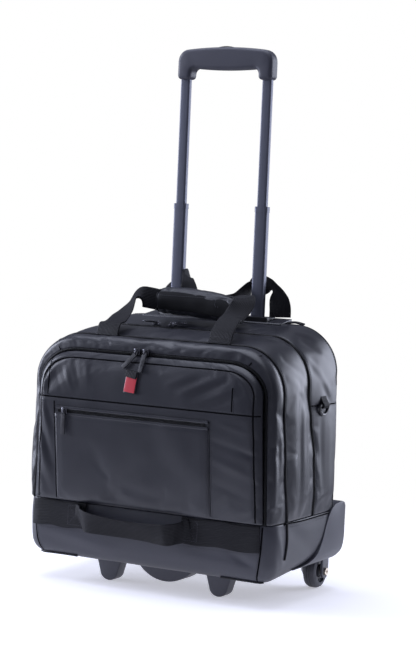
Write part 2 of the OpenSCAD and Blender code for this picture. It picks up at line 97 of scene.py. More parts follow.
def shader_group(
    name: str, inputs: dict[str, tuple[str, object]], outputs: dict[str, str]
) -> tuple[Tree, Node, Node]:
    """Makes an empty shader group.

    Args:
        name: The group's name.
        inputs: Socket type and default value of each input.
        outputs: Socket type of each output.

    Returns:
        The group with its input and output nodes.
    """
    tree = bpy.data.node_groups.new(name, "ShaderNodeTree")
    for label, (kind, value) in inputs.items():
        socket = tree.interface.new_socket(label, in_out="INPUT", socket_type=kind)
        if value is not None:
            socket.default_value = value
    for label, kind in outputs.items():
        tree.interface.new_socket(label, in_out="OUTPUT", socket_type=kind)
    return tree, tree.nodes.new("NodeGroupInput"), tree.nodes.new("NodeGroupOutput")


FLOAT, COLOR, VECTOR = "NodeSocketFloat", "NodeSocketColor", "NodeSocketVector"


def add_node(tree: Tree, kind: str, given: dict[object, object]) -> Node:
    """Adds a shader node and fills its inputs with values or with other nodes' outputs.

    Args:
        tree: The node tree.
        kind: The node's type, without its prefix.
        given: Value or output for each input, by name or number.

    Returns:
        The node.
    """
    node = tree.nodes.new(f"ShaderNode{kind}")
    for name, value in given.items():
        if isinstance(value, Socket):
            tree.links.new(value, node.inputs[name])
        else:
            node.inputs[name].default_value = value
    return node


def math_node(tree: Tree, operation: str, a: object, b: object) -> Socket:
    """Adds a clamped math node whose inputs are sockets or numbers, and returns its output."""
    node = add_node(tree, "Math", {0: a, 1: b})
    node.operation = operation
    node.use_clamp = True
    return node.outputs[0]


def add_bump(tree: Tree, height: Socket, depth: Socket, reach: float) -> Socket:
    """Adds a bump node with the given height, strength and reach, and returns its normal."""
    return add_node(tree, "Bump", {"Height": height, "Strength": depth, "Distance": reach}).outputs[0]


class Effects:
    """Shader groups that several finishes share, each built once."""

    def __init__(self) -> None:
        """Builds the grain, weave, wear and dust groups."""
        self.grain = self._grain()
        self.weave = self._weave()
        self.wear = self._wear()
        self.dust = self._dust()

    def _grain(self) -> Tree:
        """Fine pebbled grain with broad, faint mottling."""
        tree, given, out = shader_group(
            "Grain",
            {"Vector": (VECTOR, None), "Scale": (FLOAT, 900.0), "Depth": (FLOAT, 0.1)},
            {"Mottle": FLOAT, "Normal": VECTOR},
        )
        place, scale, depth = (given.outputs[name] for name in ("Vector", "Scale", "Depth"))
        cells = add_node(tree, "TexVoronoi", {"Vector": place, "Scale": scale})
        fine = add_node(tree, "TexNoise", {"Vector": place, "Scale": scale, "Detail": 4.0})
        broad = add_node(tree, "TexNoise", {"Vector": place, "Scale": 14.0, "Detail": 5.0})
        height = math_node(tree, "MULTIPLY", cells.outputs["Distance"], fine.outputs[0])
        tree.links.new(broad.outputs[0], out.inputs["Mottle"])
        tree.links.new(add_bump(tree, height, depth, 0.2 * MM), out.inputs["Normal"])
        return tree

    def _weave(self) -> Tree:
        """Crossed threads, as a height, a mask of the gaps between them and a normal."""
        tree, given, out = shader_group(
            "Weave",
            {"Vector": (VECTOR, None), "Scale": (FLOAT, 400.0), "Ribs": (FLOAT, 0.0), "Depth": (FLOAT, 0.4)},
            {"Mask": FLOAT, "Normal": VECTOR},
        )
        waves = []
        for direction in ("X", "Y", "Z"):
            wave = add_node(tree, "TexWave", {
                "Vector": given.outputs["Vector"], "Scale": given.outputs["Scale"], "Distortion": 0.6})
            wave.bands_direction = direction
            waves.append(wave.outputs["Fac"])
        crossed = math_node(tree, "MULTIPLY", waves[0], waves[1])
        crossed = math_node(tree, "MAXIMUM", crossed, math_node(tree, "MULTIPLY", waves[1], waves[2]))
        ribbed = math_node(tree, "MULTIPLY", waves[1], given.outputs["Ribs"])
        height = math_node(tree, "MAXIMUM", crossed, ribbed)
        tree.links.new(height, out.inputs["Mask"])
        tree.links.new(add_bump(tree, height, given.outputs["Depth"], 0.4 * MM), out.inputs["Normal"])
        return tree

    def _wear(self) -> Tree:
        """Mask of rubbed edges, broken up by noise."""
        tree, given, out = shader_group(
            "Edge Wear", {"Vector": (VECTOR, None), "Amount": (FLOAT, 0.5)}, {"Mask": FLOAT}
        )
        shape = add_node(tree, "NewGeometry", {})
        ramp = add_node(tree, "MapRange",
                        {"Value": shape.outputs["Pointiness"], "From Min": 0.505, "From Max": 0.56})
        patches = add_node(tree, "TexNoise", {"Vector": given.outputs["Vector"], "Scale": 60.0})
        rubbed = math_node(tree, "MULTIPLY", ramp.outputs[0], patches.outputs[0])
        tree.links.new(math_node(tree, "MULTIPLY", rubbed, given.outputs["Amount"]), out.inputs["Mask"])
        return tree

    def _dust(self) -> Tree:
        """Mask of faint dust that gathers towards the floor."""
        tree, given, out = shader_group(
            "Dust", {"Vector": (VECTOR, None), "Amount": (FLOAT, 0.1)}, {"Mask": FLOAT}
        )
        place = given.outputs["Vector"]
        split = add_node(tree, "SeparateXYZ", {0: place})
        low = add_node(tree, "MapRange", {"Value": split.outputs["Z"], "From Min": 0.16, "From Max": 0.0})
        specks = add_node(tree, "TexNoise", {"Vector": place, "Scale": 220.0, "Detail": 6.0})
        settled = math_node(tree, "MULTIPLY", low.outputs[0], specks.outputs[0])
        tree.links.new(math_node(tree, "MULTIPLY", settled, given.outputs["Amount"]), out.inputs["Mask"])
        return tree


@dataclass(frozen=True)
class Finish:
    """One material of the case.

    Attributes:
        slot: The record's material slot.
        color: Main colour, linear.
        tint: Colour that the mottling turns towards.
        rough: Middle roughness.
        surface: The kind of relief.
        scale: How fine the relief is, in repeats per metre.
        depth: Strength of the relief's bump.
        spread: How much the roughness varies.
        wear: Strength of the rubbed edges.
        dust: Strength of the dust near the floor.
        metallic: The shader's metallic value.
        coat: Weight of the clear coat.
        sheen: Weight of the sheen.
        specular: Specular level.
        on_path: Whether the relief follows the piece's own UV map.
    """

    slot: str
    color: tuple[float, float, float]
    tint: tuple[float, float, float]
    rough: float
    surface: Surface = Surface.MOULDED
    scale: float = 900.0
    depth: float = 0.12
    spread: float = 0.1
    wear: float = 0.4
    dust: float = 0.06
    metallic: float = 0.0
    coat: float = 0.0
    sheen: float = 0.0
    specular: float = 0.5
    on_path: bool = False

    def build(self, effects: Effects) -> bpy.types.Material:
        """Makes the material.

        Args:
            effects: The shared shader groups.

        Returns:
            The node material.
        """
        material = bpy.data.materials.new(self.slot)
        material.use_nodes = True
        tree = material.node_tree
        shader = tree.nodes["Principled BSDF"]
        place = tree.nodes.new("ShaderNodeTexCoord").outputs["UV" if self.on_path else "Object"]
        middle = tree.nodes.new("ShaderNodeTexCoord").outputs["Object"]
        grain = self._placed(tree, effects.grain, middle, Scale=self.scale, Depth=self.depth)
        mottle, normal = grain.outputs["Mottle"], grain.outputs["Normal"]
        if self.surface in (Surface.WOVEN, Surface.WEBBING):
            weave = self._placed(tree, effects.weave, place, Scale=self.scale, Depth=self.depth,
                                 Ribs=1.0 if self.surface is Surface.WEBBING else 0.0)
            mottle = math_node(tree, "MULTIPLY", weave.outputs["Mask"], mottle)
            normal = weave.outputs["Normal"]
        elif self.surface is Surface.BRUSHED:
            lines = add_node(tree, "Mapping", {"Vector": middle, "Scale": (40.0, 40.0, 1.0)})
            tree.links.new(lines.outputs[0], grain.inputs["Vector"])
        color = self._mixed(tree, mottle, self.color, self.tint)
        for group, amount, over in (
            (effects.wear, self.wear, tuple(min(1.0, 2.6 * c + 0.02) for c in self.color)),
            (effects.dust, self.dust, (0.42, 0.42, 0.44)),
        ):
            if amount:
                worn = self._placed(tree, group, middle, Amount=amount)
                color = self._mixed(tree, worn.outputs["Mask"], color, over)
        tree.links.new(color, shader.inputs["Base Color"])
        rough = add_node(tree, "MapRange", {"Value": mottle, "To Min": self.rough - self.spread / 2,
                                            "To Max": self.rough + self.spread / 2})
        tree.links.new(rough.outputs[0], shader.inputs["Roughness"])
        tree.links.new(normal, shader.inputs["Normal"])
        for name, value in (("Metallic", self.metallic), ("Coat Weight", self.coat), ("Coat Roughness", 0.25),
                            ("Sheen Weight", self.sheen), ("Specular IOR Level", self.specular)):
            shader.inputs[name].default_value = value
        material.diffuse_color = (*self.color, 1.0)
        return material

    @staticmethod
    def _placed(tree: Tree, group: Tree, vector: Socket, **values: float) -> Node:
        """Places a shared group in the material, fed with coordinates and values, and returns its node."""
        node = tree.nodes.new("ShaderNodeGroup")
        node.node_tree = group
        tree.links.new(vector, node.inputs["Vector"])
        for name, value in values.items():
            node.inputs[name].default_value = value
        return node

    @staticmethod
    def _mixed(tree: Tree, mask: Socket, a: object, b: object) -> Socket:
        """Mixes two colours, each a socket or a value, by the mask, and returns the output."""
        mix = tree.nodes.new("ShaderNodeMix")
        mix.data_type = "RGBA"
        tree.links.new(mask, mix.inputs["Factor"])
        for name, value in (("A", a), ("B", b)):
            socket = next(s for s in mix.inputs if s.name == name and s.type == "RGBA")
            if isinstance(value, Socket):
                tree.links.new(value, socket)
            else:
                socket.default_value = (*value, 1.0)
        return next(s for s in mix.outputs if s.type == "RGBA")


FINISHES = (
    Finish("coated_fabric", (0.0105, 0.0108, 0.0165), (0.016, 0.0165, 0.024), 0.38, Surface.COATED, 1500.0,
           0.1, wear=0.06, dust=0.02, specular=0.55),
    Finish("tough_fabric", (0.019, 0.0195, 0.029), (0.027, 0.028, 0.04), 0.44, Surface.COATED, 1100.0, 0.22,
           wear=0.08, dust=0.03),
    Finish("lining", (0.045, 0.047, 0.058), (0.062, 0.064, 0.076), 0.85, Surface.WOVEN, 260.0, 0.3,
           sheen=0.2),
    Finish("board", (0.02, 0.02, 0.022), (0.03, 0.03, 0.033), 0.7, scale=400.0, wear=0.1),
    Finish("webbing", (0.004, 0.004, 0.0056), (0.015, 0.0145, 0.019), 0.62, Surface.WEBBING, 130.0, 0.85,
           wear=0.0, dust=0.01, specular=0.18, on_path=True),
    Finish("wrap_cloth", (0.013, 0.0135, 0.019), (0.022, 0.023, 0.031), 0.38, Surface.WOVEN, 330.0, 0.35,
           wear=0.05),
    Finish("flap_cloth", (0.0016, 0.0016, 0.0024), (0.0042, 0.0042, 0.006), 0.72, Surface.COATED, 500.0,
           0.5, wear=0.0, dust=0.0, specular=0.16),
    Finish("label_cloth", (0.42, 0.026, 0.04), (0.5, 0.042, 0.06), 0.42, Surface.COATED, 900.0, 0.2,
           wear=0.15),
    Finish("piping_cord", (0.0022, 0.0022, 0.0034), (0.006, 0.006, 0.009), 0.5, Surface.COATED, 900.0, 0.2,
           wear=0.0, dust=0.0, specular=0.25),
    # Painted shade: a near-black, matte finish with almost no specular, so that seams read as shaded grooves.
    Finish("painted_seam_shade", (0.001, 0.001, 0.0016), (0.0022, 0.0022, 0.0032), 0.9, Surface.COATED, 900.0, 0.2,
           wear=0.0, dust=0.0, specular=0.06),
    Finish("thread", (0.02, 0.02, 0.029), (0.04, 0.04, 0.054), 0.6, Surface.MOULDED, 1500.0, 0.3, wear=0.0,
           dust=0.02),
    Finish("zip_coil", (0.0024, 0.0024, 0.0034), (0.006, 0.006, 0.008), 0.5, Surface.WOVEN, 700.0, 0.3,
           wear=0.0, dust=0.0, specular=0.25),
    Finish("slider_metal", (0.1, 0.1, 0.115), (0.18, 0.18, 0.2), 0.22, scale=500.0, depth=0.06, wear=0.5,
           metallic=1.0),
    Finish("pull_rubber", (0.014, 0.014, 0.017), (0.024, 0.024, 0.03), 0.55, depth=0.3, wear=0.1),
    Finish("hard_plastic", (0.028, 0.0285, 0.042), (0.036, 0.037, 0.053), 0.42, scale=1300.0, depth=0.3,
           wear=0.2, dust=0.04),
    Finish("black_plastic", (0.006, 0.006, 0.008), (0.011, 0.011, 0.014), 0.36, depth=0.2, wear=0.3),
    Finish("grip_plastic", (0.028, 0.0285, 0.042), (0.036, 0.037, 0.053), 0.48, scale=1500.0, depth=0.3,
           wear=0.3),
    Finish("hub_plastic", (0.012, 0.0125, 0.018), (0.02, 0.021, 0.028), 0.4, depth=0.2, dust=0.06),
    Finish("tyre", (0.022, 0.0225, 0.032), (0.032, 0.033, 0.044), 0.55, scale=500.0, depth=0.4, wear=0.3,
           dust=0.08),
    Finish("tube_metal", (0.08, 0.084, 0.11), (0.1, 0.105, 0.136), 0.42, Surface.BRUSHED, 60.0, 0.03,
           wear=0.1, dust=0.0, metallic=0.55, spread=0.12, specular=0.3),
    Finish("ring_metal", (0.01, 0.01, 0.012), (0.02, 0.02, 0.024), 0.3, scale=500.0, depth=0.06, coat=0.3),
    Finish("bolt_metal", (0.5, 0.4, 0.32), (0.62, 0.52, 0.42), 0.3, Surface.BRUSHED, 200.0, 0.05,
           metallic=1.0),
    Finish("steel", (0.55, 0.55, 0.57), (0.66, 0.66, 0.68), 0.3, Surface.BRUSHED, 200.0, 0.05,
           metallic=1.0),
)
MATERIALS: dict[str, bpy.types.Material] = {}


# ---------------------------------------------------------------- making and dressing pieces


def dress(piece: Piece, body: str, slot: str, *stands_for: str, finish: str = "") -> Piece:
    """Gives a piece its finish, and its body and places in the frame.

    Args:
        piece: The finished piece.
        body: The body that it rides on.
        slot: The record's material slot.
        stands_for: CAD nodes that it replaces.
        finish: Finish, where it isn't the slot's own.

    Returns:
        The piece.
    """
    piece.data.materials.clear()
    piece.data.materials.append(MATERIALS[finish or slot])
    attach(piece, body)
    if stands_for:
        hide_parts(*stands_for)
    LOG.info("%s rides on %s", piece.name, body)
    return piece


def alone(piece: Piece) -> None:
    """Selects the piece and nothing else, and makes it the active one."""
    bpy.ops.object.select_all(action="DESELECT")
    piece.select_set(True)
    bpy.context.view_layer.objects.active = piece


def pick(piece: Piece, mode: str, chosen: list[bool]) -> None:
    """Enters edit mode with only the chosen faces or edges selected.

    Args:
        piece: The piece.
        mode: FACE or EDGE.
        chosen: Whether each face or edge is selected.
    """
    alone(piece)
    bpy.ops.object.mode_set(mode="EDIT")
    bpy.ops.mesh.select_mode(type=mode)
    bpy.ops.mesh.select_all(action="DESELECT")
    bpy.ops.object.mode_set(mode="OBJECT")
    for element, wanted in zip(piece.data.polygons if mode == "FACE" else piece.data.edges, chosen):
        element.select = wanted
    bpy.ops.object.mode_set(mode="EDIT")


def apply(piece: Piece, kind: str, **values: object) -> None:
    """Adds a modifier with the given values and applies it."""
    alone(piece)
    modifier = piece.modifiers.new(kind.title(), kind)
    for name, value in values.items():
        setattr(modifier, name, value)
    bpy.ops.object.modifier_apply(modifier=modifier.name)


def smooth(piece: Piece, angle: float = 40.0) -> None:
    """Shades a piece smooth, apart from edges sharper than the angle in degrees."""
    alone(piece)
    bpy.ops.object.shade_smooth_by_angle(angle=math.radians(angle))


def mesh_piece(name: str, points: Path3, faces: list[tuple[int, ...]],
               uvs: list[tuple[float, float]] | None = None,
               closed: bool = False) -> Piece:
    """Makes an object from points and faces.

    Args:
        name: The piece's name.
        points: Its points.
        faces: Its faces, as indices of points.
        uvs: A map coordinate for each point.
        closed: Whether the mesh is a closed shell whose faces are turned outwards.

    Returns:
        The object.
    """
    mesh = bpy.data.meshes.new(name)
    mesh.from_pydata(points, [], faces)
    if uvs:
        layer = mesh.uv_layers.new(name="UVMap")
        for loop in mesh.loops:
            layer.data[loop.index].uv = uvs[loop.vertex_index]
    if closed:
        shell = bmesh.new()
        shell.from_mesh(mesh)
        bmesh.ops.recalc_face_normals(shell, faces=shell.faces)
        shell.to_mesh(mesh)
        shell.free()
    piece = bpy.data.objects.new(name, mesh)
    bpy.context.scene.collection.objects.link(piece)
    return piece


def moulded(name: str, node: str, width: float, segments: int = 2, angle: float = 30.0) -> Piece:
    """Makes a piece with rounded edges from a hard CAD node.

    Args:
        name: The new piece's name.
        node: The CAD node.
        width: Width of the rounding.
        segments: Steps in the rounding.
        angle: Edges sharper than this, in degrees, are rounded.

    Returns:
        The piece.
    """
    source = frame["nodes"][node]
    piece = bpy.data.objects.new(name, source.data.copy())
    bpy.context.scene.collection.objects.link(piece)
    piece.data.materials.clear()
    pick(piece, "FACE", [True] * len(piece.data.polygons))
    bpy.ops.mesh.remove_doubles(threshold=0.01 * MM)
    bpy.ops.mesh.dissolve_limited(angle_limit=math.radians(1.0))
    bpy.ops.object.mode_set(mode="OBJECT")
    apply(piece, "BEVEL", width=width, segments=segments, limit_method="ANGLE",
          angle_limit=math.radians(angle),
          use_clamp_overlap=True, miter_outer="MITER_ARC")
    apply(piece, "TRIANGULATE", quad_method="BEAUTY")
    smooth(piece, 35.0)
    return piece


def path_frames(path: Path3, normals: Path3) -> list[tuple[Vector, Vector, Vector]]:
    """Gives the direction, the surface normal and the sideways direction at each point of a path."""
    frames = []
    for k, normal in enumerate(normals):
        ahead = (path[min(k + 1, len(path) - 1)] - path[max(k - 1, 0)]).normalized()
        side = ahead.cross(normal).normalized()
        frames.append((ahead, side.cross(ahead).normalized(), side))
    return frames


def swept(name: str, path: Path3, normals: Path3, outline: list[tuple[float, float]],
          wide: Curve | None = None) -> Piece:
    """Sweeps a closed outline along a path, with closed ends.

    Args:
        name: The piece's name.
        path: Points of the path.
        normals: The surface normal at each point.
        outline: Points (sideways, upwards) of the section.
        wide: Factor on the sideways size, by the share of the path.

    Returns:
        The closed piece, with its length and width as its UV map.
    """
    count = len(outline)
    points, uvs, faces = [], [], []
    run = 0.0
    for k, (point, (_, up, side)) in enumerate(zip(path, path_frames(path, normals))):
        run += (point - path[k - 1]).length if k else 0.0
        grow = wide(k / (len(path) - 1)) if wide else 1.0
        for a, b in outline:
            points.append(point + side * a * grow + up * b)
            uvs.append((run, a * grow))
    for k in range(len(path) - 1):
        for i in range(count):
            j = (i + 1) % count
            faces.append((k * count + i, k * count + j, (k + 1) * count + j, (k + 1) * count + i))
    faces.append(tuple(range(count)))
    faces.append(tuple((len(path) - 1) * count + i for i in range(count)))
    piece = mesh_piece(name, points, faces, uvs, closed=True)
    smooth(piece, 50.0)
    return piece


def extruded(name: str, outline: list[tuple[float, float]], front: float, back: float, round_r: float
             ) -> Piece:
    """Makes a solid from an outline in x and z, with rounded edges.

    Args:
        name: The piece's name.
        outline: Its points, in order.
        front: Lowest y.
        back: Highest y.
        round_r: Radius of the rounded edges.

    Returns:
        The piece.
    """
    count = len(outline)
    points = [Vector((x, y, z)) for y in (front, back) for x, z in outline]
    faces = [(i, (i + 1) % count, count + (i + 1) % count, count + i) for i in range(count)]
    faces += [tuple(range(count)), tuple(range(count, 2 * count))]
    piece = mesh_piece(name, points, faces, closed=True)
    apply(piece, "BEVEL", width=round_r, segments=5, limit_method="ANGLE", angle_limit=math.radians(50),
          use_clamp_overlap=True)
    apply(piece, "TRIANGULATE", quad_method="BEAUTY")
    smooth(piece, 40.0)
    return piece


def polar(radius: float, degrees: float) -> tuple[float, float]:
    """Gives the sideways and upwards parts of a radius turned by an angle."""
    turn = math.radians(degrees)
    return radius * math.cos(turn), radius * math.sin(turn)


def round_outline(radius: float, sides: int = 8) -> list[tuple[float, float]]:
    """Gives a round section."""
    return [polar(radius, 360.0 * k / sides) for k in range(sides)]


def fixed_normals(normal: tuple[float, float, float], count: int) -> Path3:
    """Gives the same normal for each of a number of points."""
    return [Vector(normal)] * count


def strap_outline(width: float, thick: float) -> list[tuple[float, float]]:
    """Gives a webbing's section: flat, with thin rounded edges and a slightly full middle."""
    half = width / 2
    top = [(-1.0, 0.12), (-0.97, 0.36), (-0.88, 0.46), (-0.4, 0.5), (0.0, 0.52), (0.4, 0.5), (0.88, 0.46),
           (0.97, 0.36),
           (1.0, 0.12)]
    return [(a * half, b * thick) for a, b in top] + [(a * half, -b * thick) for a, b in reversed(top)]


def even(path: Path3, step: float) -> Path3:
    """Spaces a path's points evenly, about a step apart."""
    lengths = [0.0]
    for a, b in zip(path, path[1:]):
        lengths.append(lengths[-1] + (b - a).length)
    count = max(1, round(lengths[-1] / step))
    spaced, k = [], 0
    for n in range(count + 1):
        at = lengths[-1] * n / count
        while k < len(path) - 2 and lengths[k + 1] < at:
            k += 1
        share = (at - lengths[k]) / max(lengths[k + 1] - lengths[k], 1e-9)
        spaced.append(path[k].lerp(path[k + 1], share))
    return spaced


def curve_through(knots: list[tuple[float, float, float]], per_span: int = 8) -> Path3:
    """Gives a smooth path through the knots."""
    points = [Vector(k) for k in knots]
    ends = [2 * points[0] - points[1], *points, 2 * points[-1] - points[-2]]
    path = []
    for a, b, c, d in zip(ends, ends[1:], ends[2:], ends[3:]):
        for n in range(per_span):
            t = n / per_span
            path.append(0.5 * (2 * b + (c - a) * t + (2 * a - 5 * b + 4 * c - d) * t * t
                               + (3 * b - a - 3 * c + d) * t ** 3))
    return [*path, points[-1]]


def twisting(knots: list[Knot]) -> tuple[Path3, Path3]:
    """Gives a smooth path and its turning normals from knots of a place and a normal."""
    places, normals = zip(*knots)
    return curve_through(places), [n.normalized() for n in curve_through(normals)]


def blocks(name: str, path: Path3, normals: Path3, size: tuple[float, float, float], pitch: float,
           aside: float = 0.0, lift: float = 0.0) -> Piece:
    """Lays small six-sided blocks along a path: stitches or zip teeth.

    Args:
        name: The piece's name.
        path: Points of the path.
        normals: The surface normal at each point.
        size: Length along the path, width and height of one block.
        pitch: Distance from one block to the next.
        aside: Sideways place of the row.
        lift: Height of the row's middle above the path.

    Returns:
        One piece with all the blocks.
    """
    points, faces = [], []
    half = Vector(size) / 2
    k = 0
    frames = path_frames(path, normals)
    for spot in even(path, pitch):
        while k < len(path) - 2 and (path[k + 1] - spot).length < (path[k] - spot).length:
            k += 1
        ahead, up, side = frames[k]
        centre = spot + side * aside + up * lift
        base = len(points)
        for end, inset in ((-1, 0.6), (-0.55, 1.0), (0.55, 1.0), (1, 0.6)):
            for b, c in ((-1, -1), (1, -1), (0.7, 1), (-0.7, 1)):
                points.append(centre + ahead * end * half.x + (side * b * half.y + up * c * half.z) * inset)
        for ring in range(3):
            for i in range(4):
                j = (i + 1) % 4
                a = base + 4 * ring
                faces.append((a + i, a + j, a + 4 + j, a + 4 + i))
        faces += [(base + 3, base + 2, base + 1, base), (base + 12, base + 13, base + 14, base + 15)]
    return mesh_piece(name, points, faces, closed=True)


def joined(name: str, pieces: list[Piece]) -> Piece:
    """Joins pieces of one body and finish into one object with the given name."""
    alone(pieces[0])
    for piece in pieces:
        piece.select_set(True)
    bpy.ops.object.join()
    pieces[0].name = name
    return pieces[0]


@dataclass(frozen=True)
class Fold:
    """A crease or ridge pressed into a sheet, from a to b, in the case's own coordinates."""

    a: tuple[float, float, float]
    b: tuple[float, float, float]
    wide: float = 0.007
    high: float = 0.002

    def at(self, point: Vector) -> float:
        """Gives its height at a point, fading out towards its ends."""
        start, end = Vector(self.a), Vector(self.b)
        along = end - start
        share = max(0.0, min(1.0, (point - start).dot(along) / along.length_squared))
        away = (point - start - along * share).length / self.wide
        if away > 3.0:
            return 0.0
        return self.high * math.exp(-away * away) * math.sin(math.pi * (0.12 + 0.76 * share)) ** 0.8


def creases(rows: tuple[tuple[float, ...], ...], mirrored: bool = False) -> list[Fold]:
    """Makes folds from rows in millimetres: two ends, width and height.

    Args:
        rows: The folds.
        mirrored: Whether each fold is on both sides of the case.

    Returns:
        The folds.
    """
    made = []
    for side in (-1, 1) if mirrored else (1,):
        for ax, ay, az, bx, by, bz, wide, high in rows:
            start, end = (side * ax * MM, ay * MM, az * MM), (side * bx * MM, by * MM, bz * MM)
            made.append(Fold(start, end, wide * MM, high * MM))
    return made


class Sheet:
    """A piece of fabric laid out as a grid on a form, then shaped, simulated and thickened."""

    def __init__(self, name: str, place: Callable[[float, float], Vector], columns: int, rows: int) -> None:
        """Lays out the grid.

        Args:
            name: The piece's name.
            place: Gives the point at two shares from 0 to 1.
            columns: Cells along the first share.
            rows: Cells along the second.
        """
        self.shares = [(i / columns, j / rows) for j in range(rows + 1) for i in range(columns + 1)]
        points = [place(s, t) for s, t in self.shares]
        wide = columns + 1
        faces = [
            (j * wide + i, j * wide + i + 1, (j + 1) * wide + i + 1, (j + 1) * wide + i)
            for j in range(rows) for i in range(columns)
        ]
        uvs = [(p.x + 0.5 * p.y, p.z - 0.5 * p.y) for p in points]
        self.piece = mesh_piece(name, points, faces, uvs)
        middle = Vector((0.0, 0.0, 0.25))
        turned = sum(f.normal.dot(f.center - middle) * f.area for f in self.piece.data.polygons)
        if turned < 0:
            self.piece.data.flip_normals()

    def press(self, height: Callable[[float, float, Vector], float]) -> "Sheet":
        """Moves each point along its normal by the given height, and returns the sheet."""
        mesh = self.piece.data
        normals = [v.normal.copy() for v in mesh.vertices]
        for vertex, normal, (s, t) in zip(mesh.vertices, normals, self.shares):
            vertex.co += normal * height(s, t, vertex.co)
        mesh.update()
        return self

    def simulate(self, held: Callable[[float, float], float], pressure: float = 2.0, growth: float = 0.012,
                 cap: float = 0.006, frames: int = 16) -> "Sheet":
        """Swells and wrinkles the sheet with a cloth simulation.

        Args:
            held: How firmly a point is pinned, by its two shares.
            pressure: Pressure from inside.
            growth: Share by which the cloth is cut too large.
            cap: The furthest that a point may move.
            frames: Steps of the simulation.

        Returns:
            The sheet, with the result in its mesh.
        """
        piece = self.piece
        pins = piece.vertex_groups.new(name="pins")
        for index, (s, t) in enumerate(self.shares):
            pins.add([index], held(s, t), "REPLACE")
        cloth = piece.modifiers.new("Cloth", "CLOTH")
        made = cloth.settings
        made.vertex_group_mass = "pins"
        made.pin_stiffness = 1.0
        made.use_pressure = True
        made.uniform_pressure_force = pressure
        made.effector_weights.gravity = 0.0
        made.shrink_min = -growth
        made.tension_stiffness = made.compression_stiffness = 25.0
        made.bending_stiffness = 0.4
        made.quality = 6
        made.air_damping = 3.0
        scene = bpy.context.scene
        for step in range(1, frames + 1):
            scene.frame_set(step)
        result = piece.evaluated_get(bpy.context.evaluated_depsgraph_get()).data
        moved = [v.co.copy() for v in result.vertices]
        piece.modifiers.remove(cloth)
        piece.vertex_groups.remove(pins)
        scene.frame_set(1)
        for vertex, co in zip(piece.data.vertices, moved):
            shift = co - vertex.co
            if shift.length > cap:
                shift *= cap / shift.length
            vertex.co += shift
        piece.data.update()
        return self

    def thicken(self, thick: float, levels: int = 1) -> Piece:
        """Gives the sheet its thickness, inwards, and its subdivision, and returns the piece."""
        apply(self.piece, "SOLIDIFY", thickness=thick, offset=-1.0, use_even_offset=False)
        if levels:
            apply(self.piece, "SUBSURF", levels=levels, render_levels=levels)
        alone(self.piece)
        bpy.ops.object.shade_smooth()
        return self.piece


class Skin:
    """The finished surface of a piece, on which seams, zips and patches are laid."""

    def __init__(self, *pieces: Piece) -> None:
        """Reads the pieces' surfaces."""
        self.trees = []
        for piece in pieces:
            mesh = piece.data
            self.trees.append(BVHTree.FromPolygons([v.co for v in mesh.vertices],
                                                   [p.vertices for p in mesh.polygons]))

    def snap(self, point: Vector, lift: float = 0.0) -> tuple[Vector, Vector]:
        """Gives the surface's nearest point, lifted off it, and the normal there."""
        found = min((tree.find_nearest(point) for tree in self.trees), key=lambda f: f[3])
        return found[0] + found[1] * lift, found[1]

    def lay(self, path: Path3, step: float = 0.004, lift: float = 0.0) -> tuple[Path3, Path3]:
        """Lays a path on the surface and gives its points and normals."""
        spots = [self.snap(p, lift) for p in even(path, step)]
        return [s[0] for s in spots], [s[1] for s in spots]

    def across(self, places: list[tuple[float, float]], lift: float = 0.0) -> tuple[Path3, Path3]:
        """Gives the points and normals seen straight from the front at places in x and z."""
        spots = [self.front(x, z, lift) for x, z in places]
        return [s[0] for s in spots], [s[1] for s in spots]

    def front(self, x: float, z: float, lift: float = 0.0) -> tuple[Vector, Vector]:
        """Gives the point seen straight from the front at x and z, lifted towards it, and its normal."""
        for tree in self.trees:
            hit, normal, _, _ = tree.ray_cast(Vector((x, -0.4, z)), Vector((0.0, 1.0, 0.0)))
            if hit:
                return hit + normal * lift, normal
        return Vector((x, -0.118, z)), Vector((0.0, -1.0, 0.0))


def seam(name: str, body: str, slot: str, skin: Skin, path: Path3, rows: tuple[float, ...] = (0.003,),
         line: float = 0.0011) -> None:
    """Sews a seam: a near-black line of painted shade pressed between two edges, with rows of stitches beside
    it.

    Args:
        name: Start of the pieces' names.
        body: The body that they ride on.
        slot: The fabric's slot.
        skin: The surface that the seam lies on.
        path: Its course.
        rows: Sideways places of the stitch rows.
        line: Radius of the dark line of painted shade.
    """
    points, normals = skin.lay(path, 0.004)
    if line:
        # Painted shade: a thin, near-black, matte cord stands for the shade in the seam's groove.
        lay = swept(f"{name}_seam", points, normals, [(a, 0.5 * b) for a, b in round_outline(line, 6)])
        dress(lay, body, slot, finish="painted_seam_shade")
    if rows:
        sewn = [
            blocks(f"{name}_row_{k}", points, normals, (2.9 * MM, 0.55 * MM, 0.5 * MM), 4.1 * MM, aside,
                   0.1 * MM)
            for k, aside in enumerate(rows)
        ]
        dress(joined(f"{name}_stitching", sewn), body, slot, finish="thread")


# ---------------------------------------------------------------- the case's own form


def through_knots(knots: list[tuple[float, float]], at: float) -> float:
    """Gives the value at a place between knots, easing from each to the next."""
    if at <= knots[0][0]:
        return knots[0][1]
    for (a, low), (b, high) in zip(knots, knots[1:]):
        if at <= b:
            share = (at - a) / (b - a)
            return low + (high - low) * share * share * (3 - 2 * share)
    return knots[-1][1]


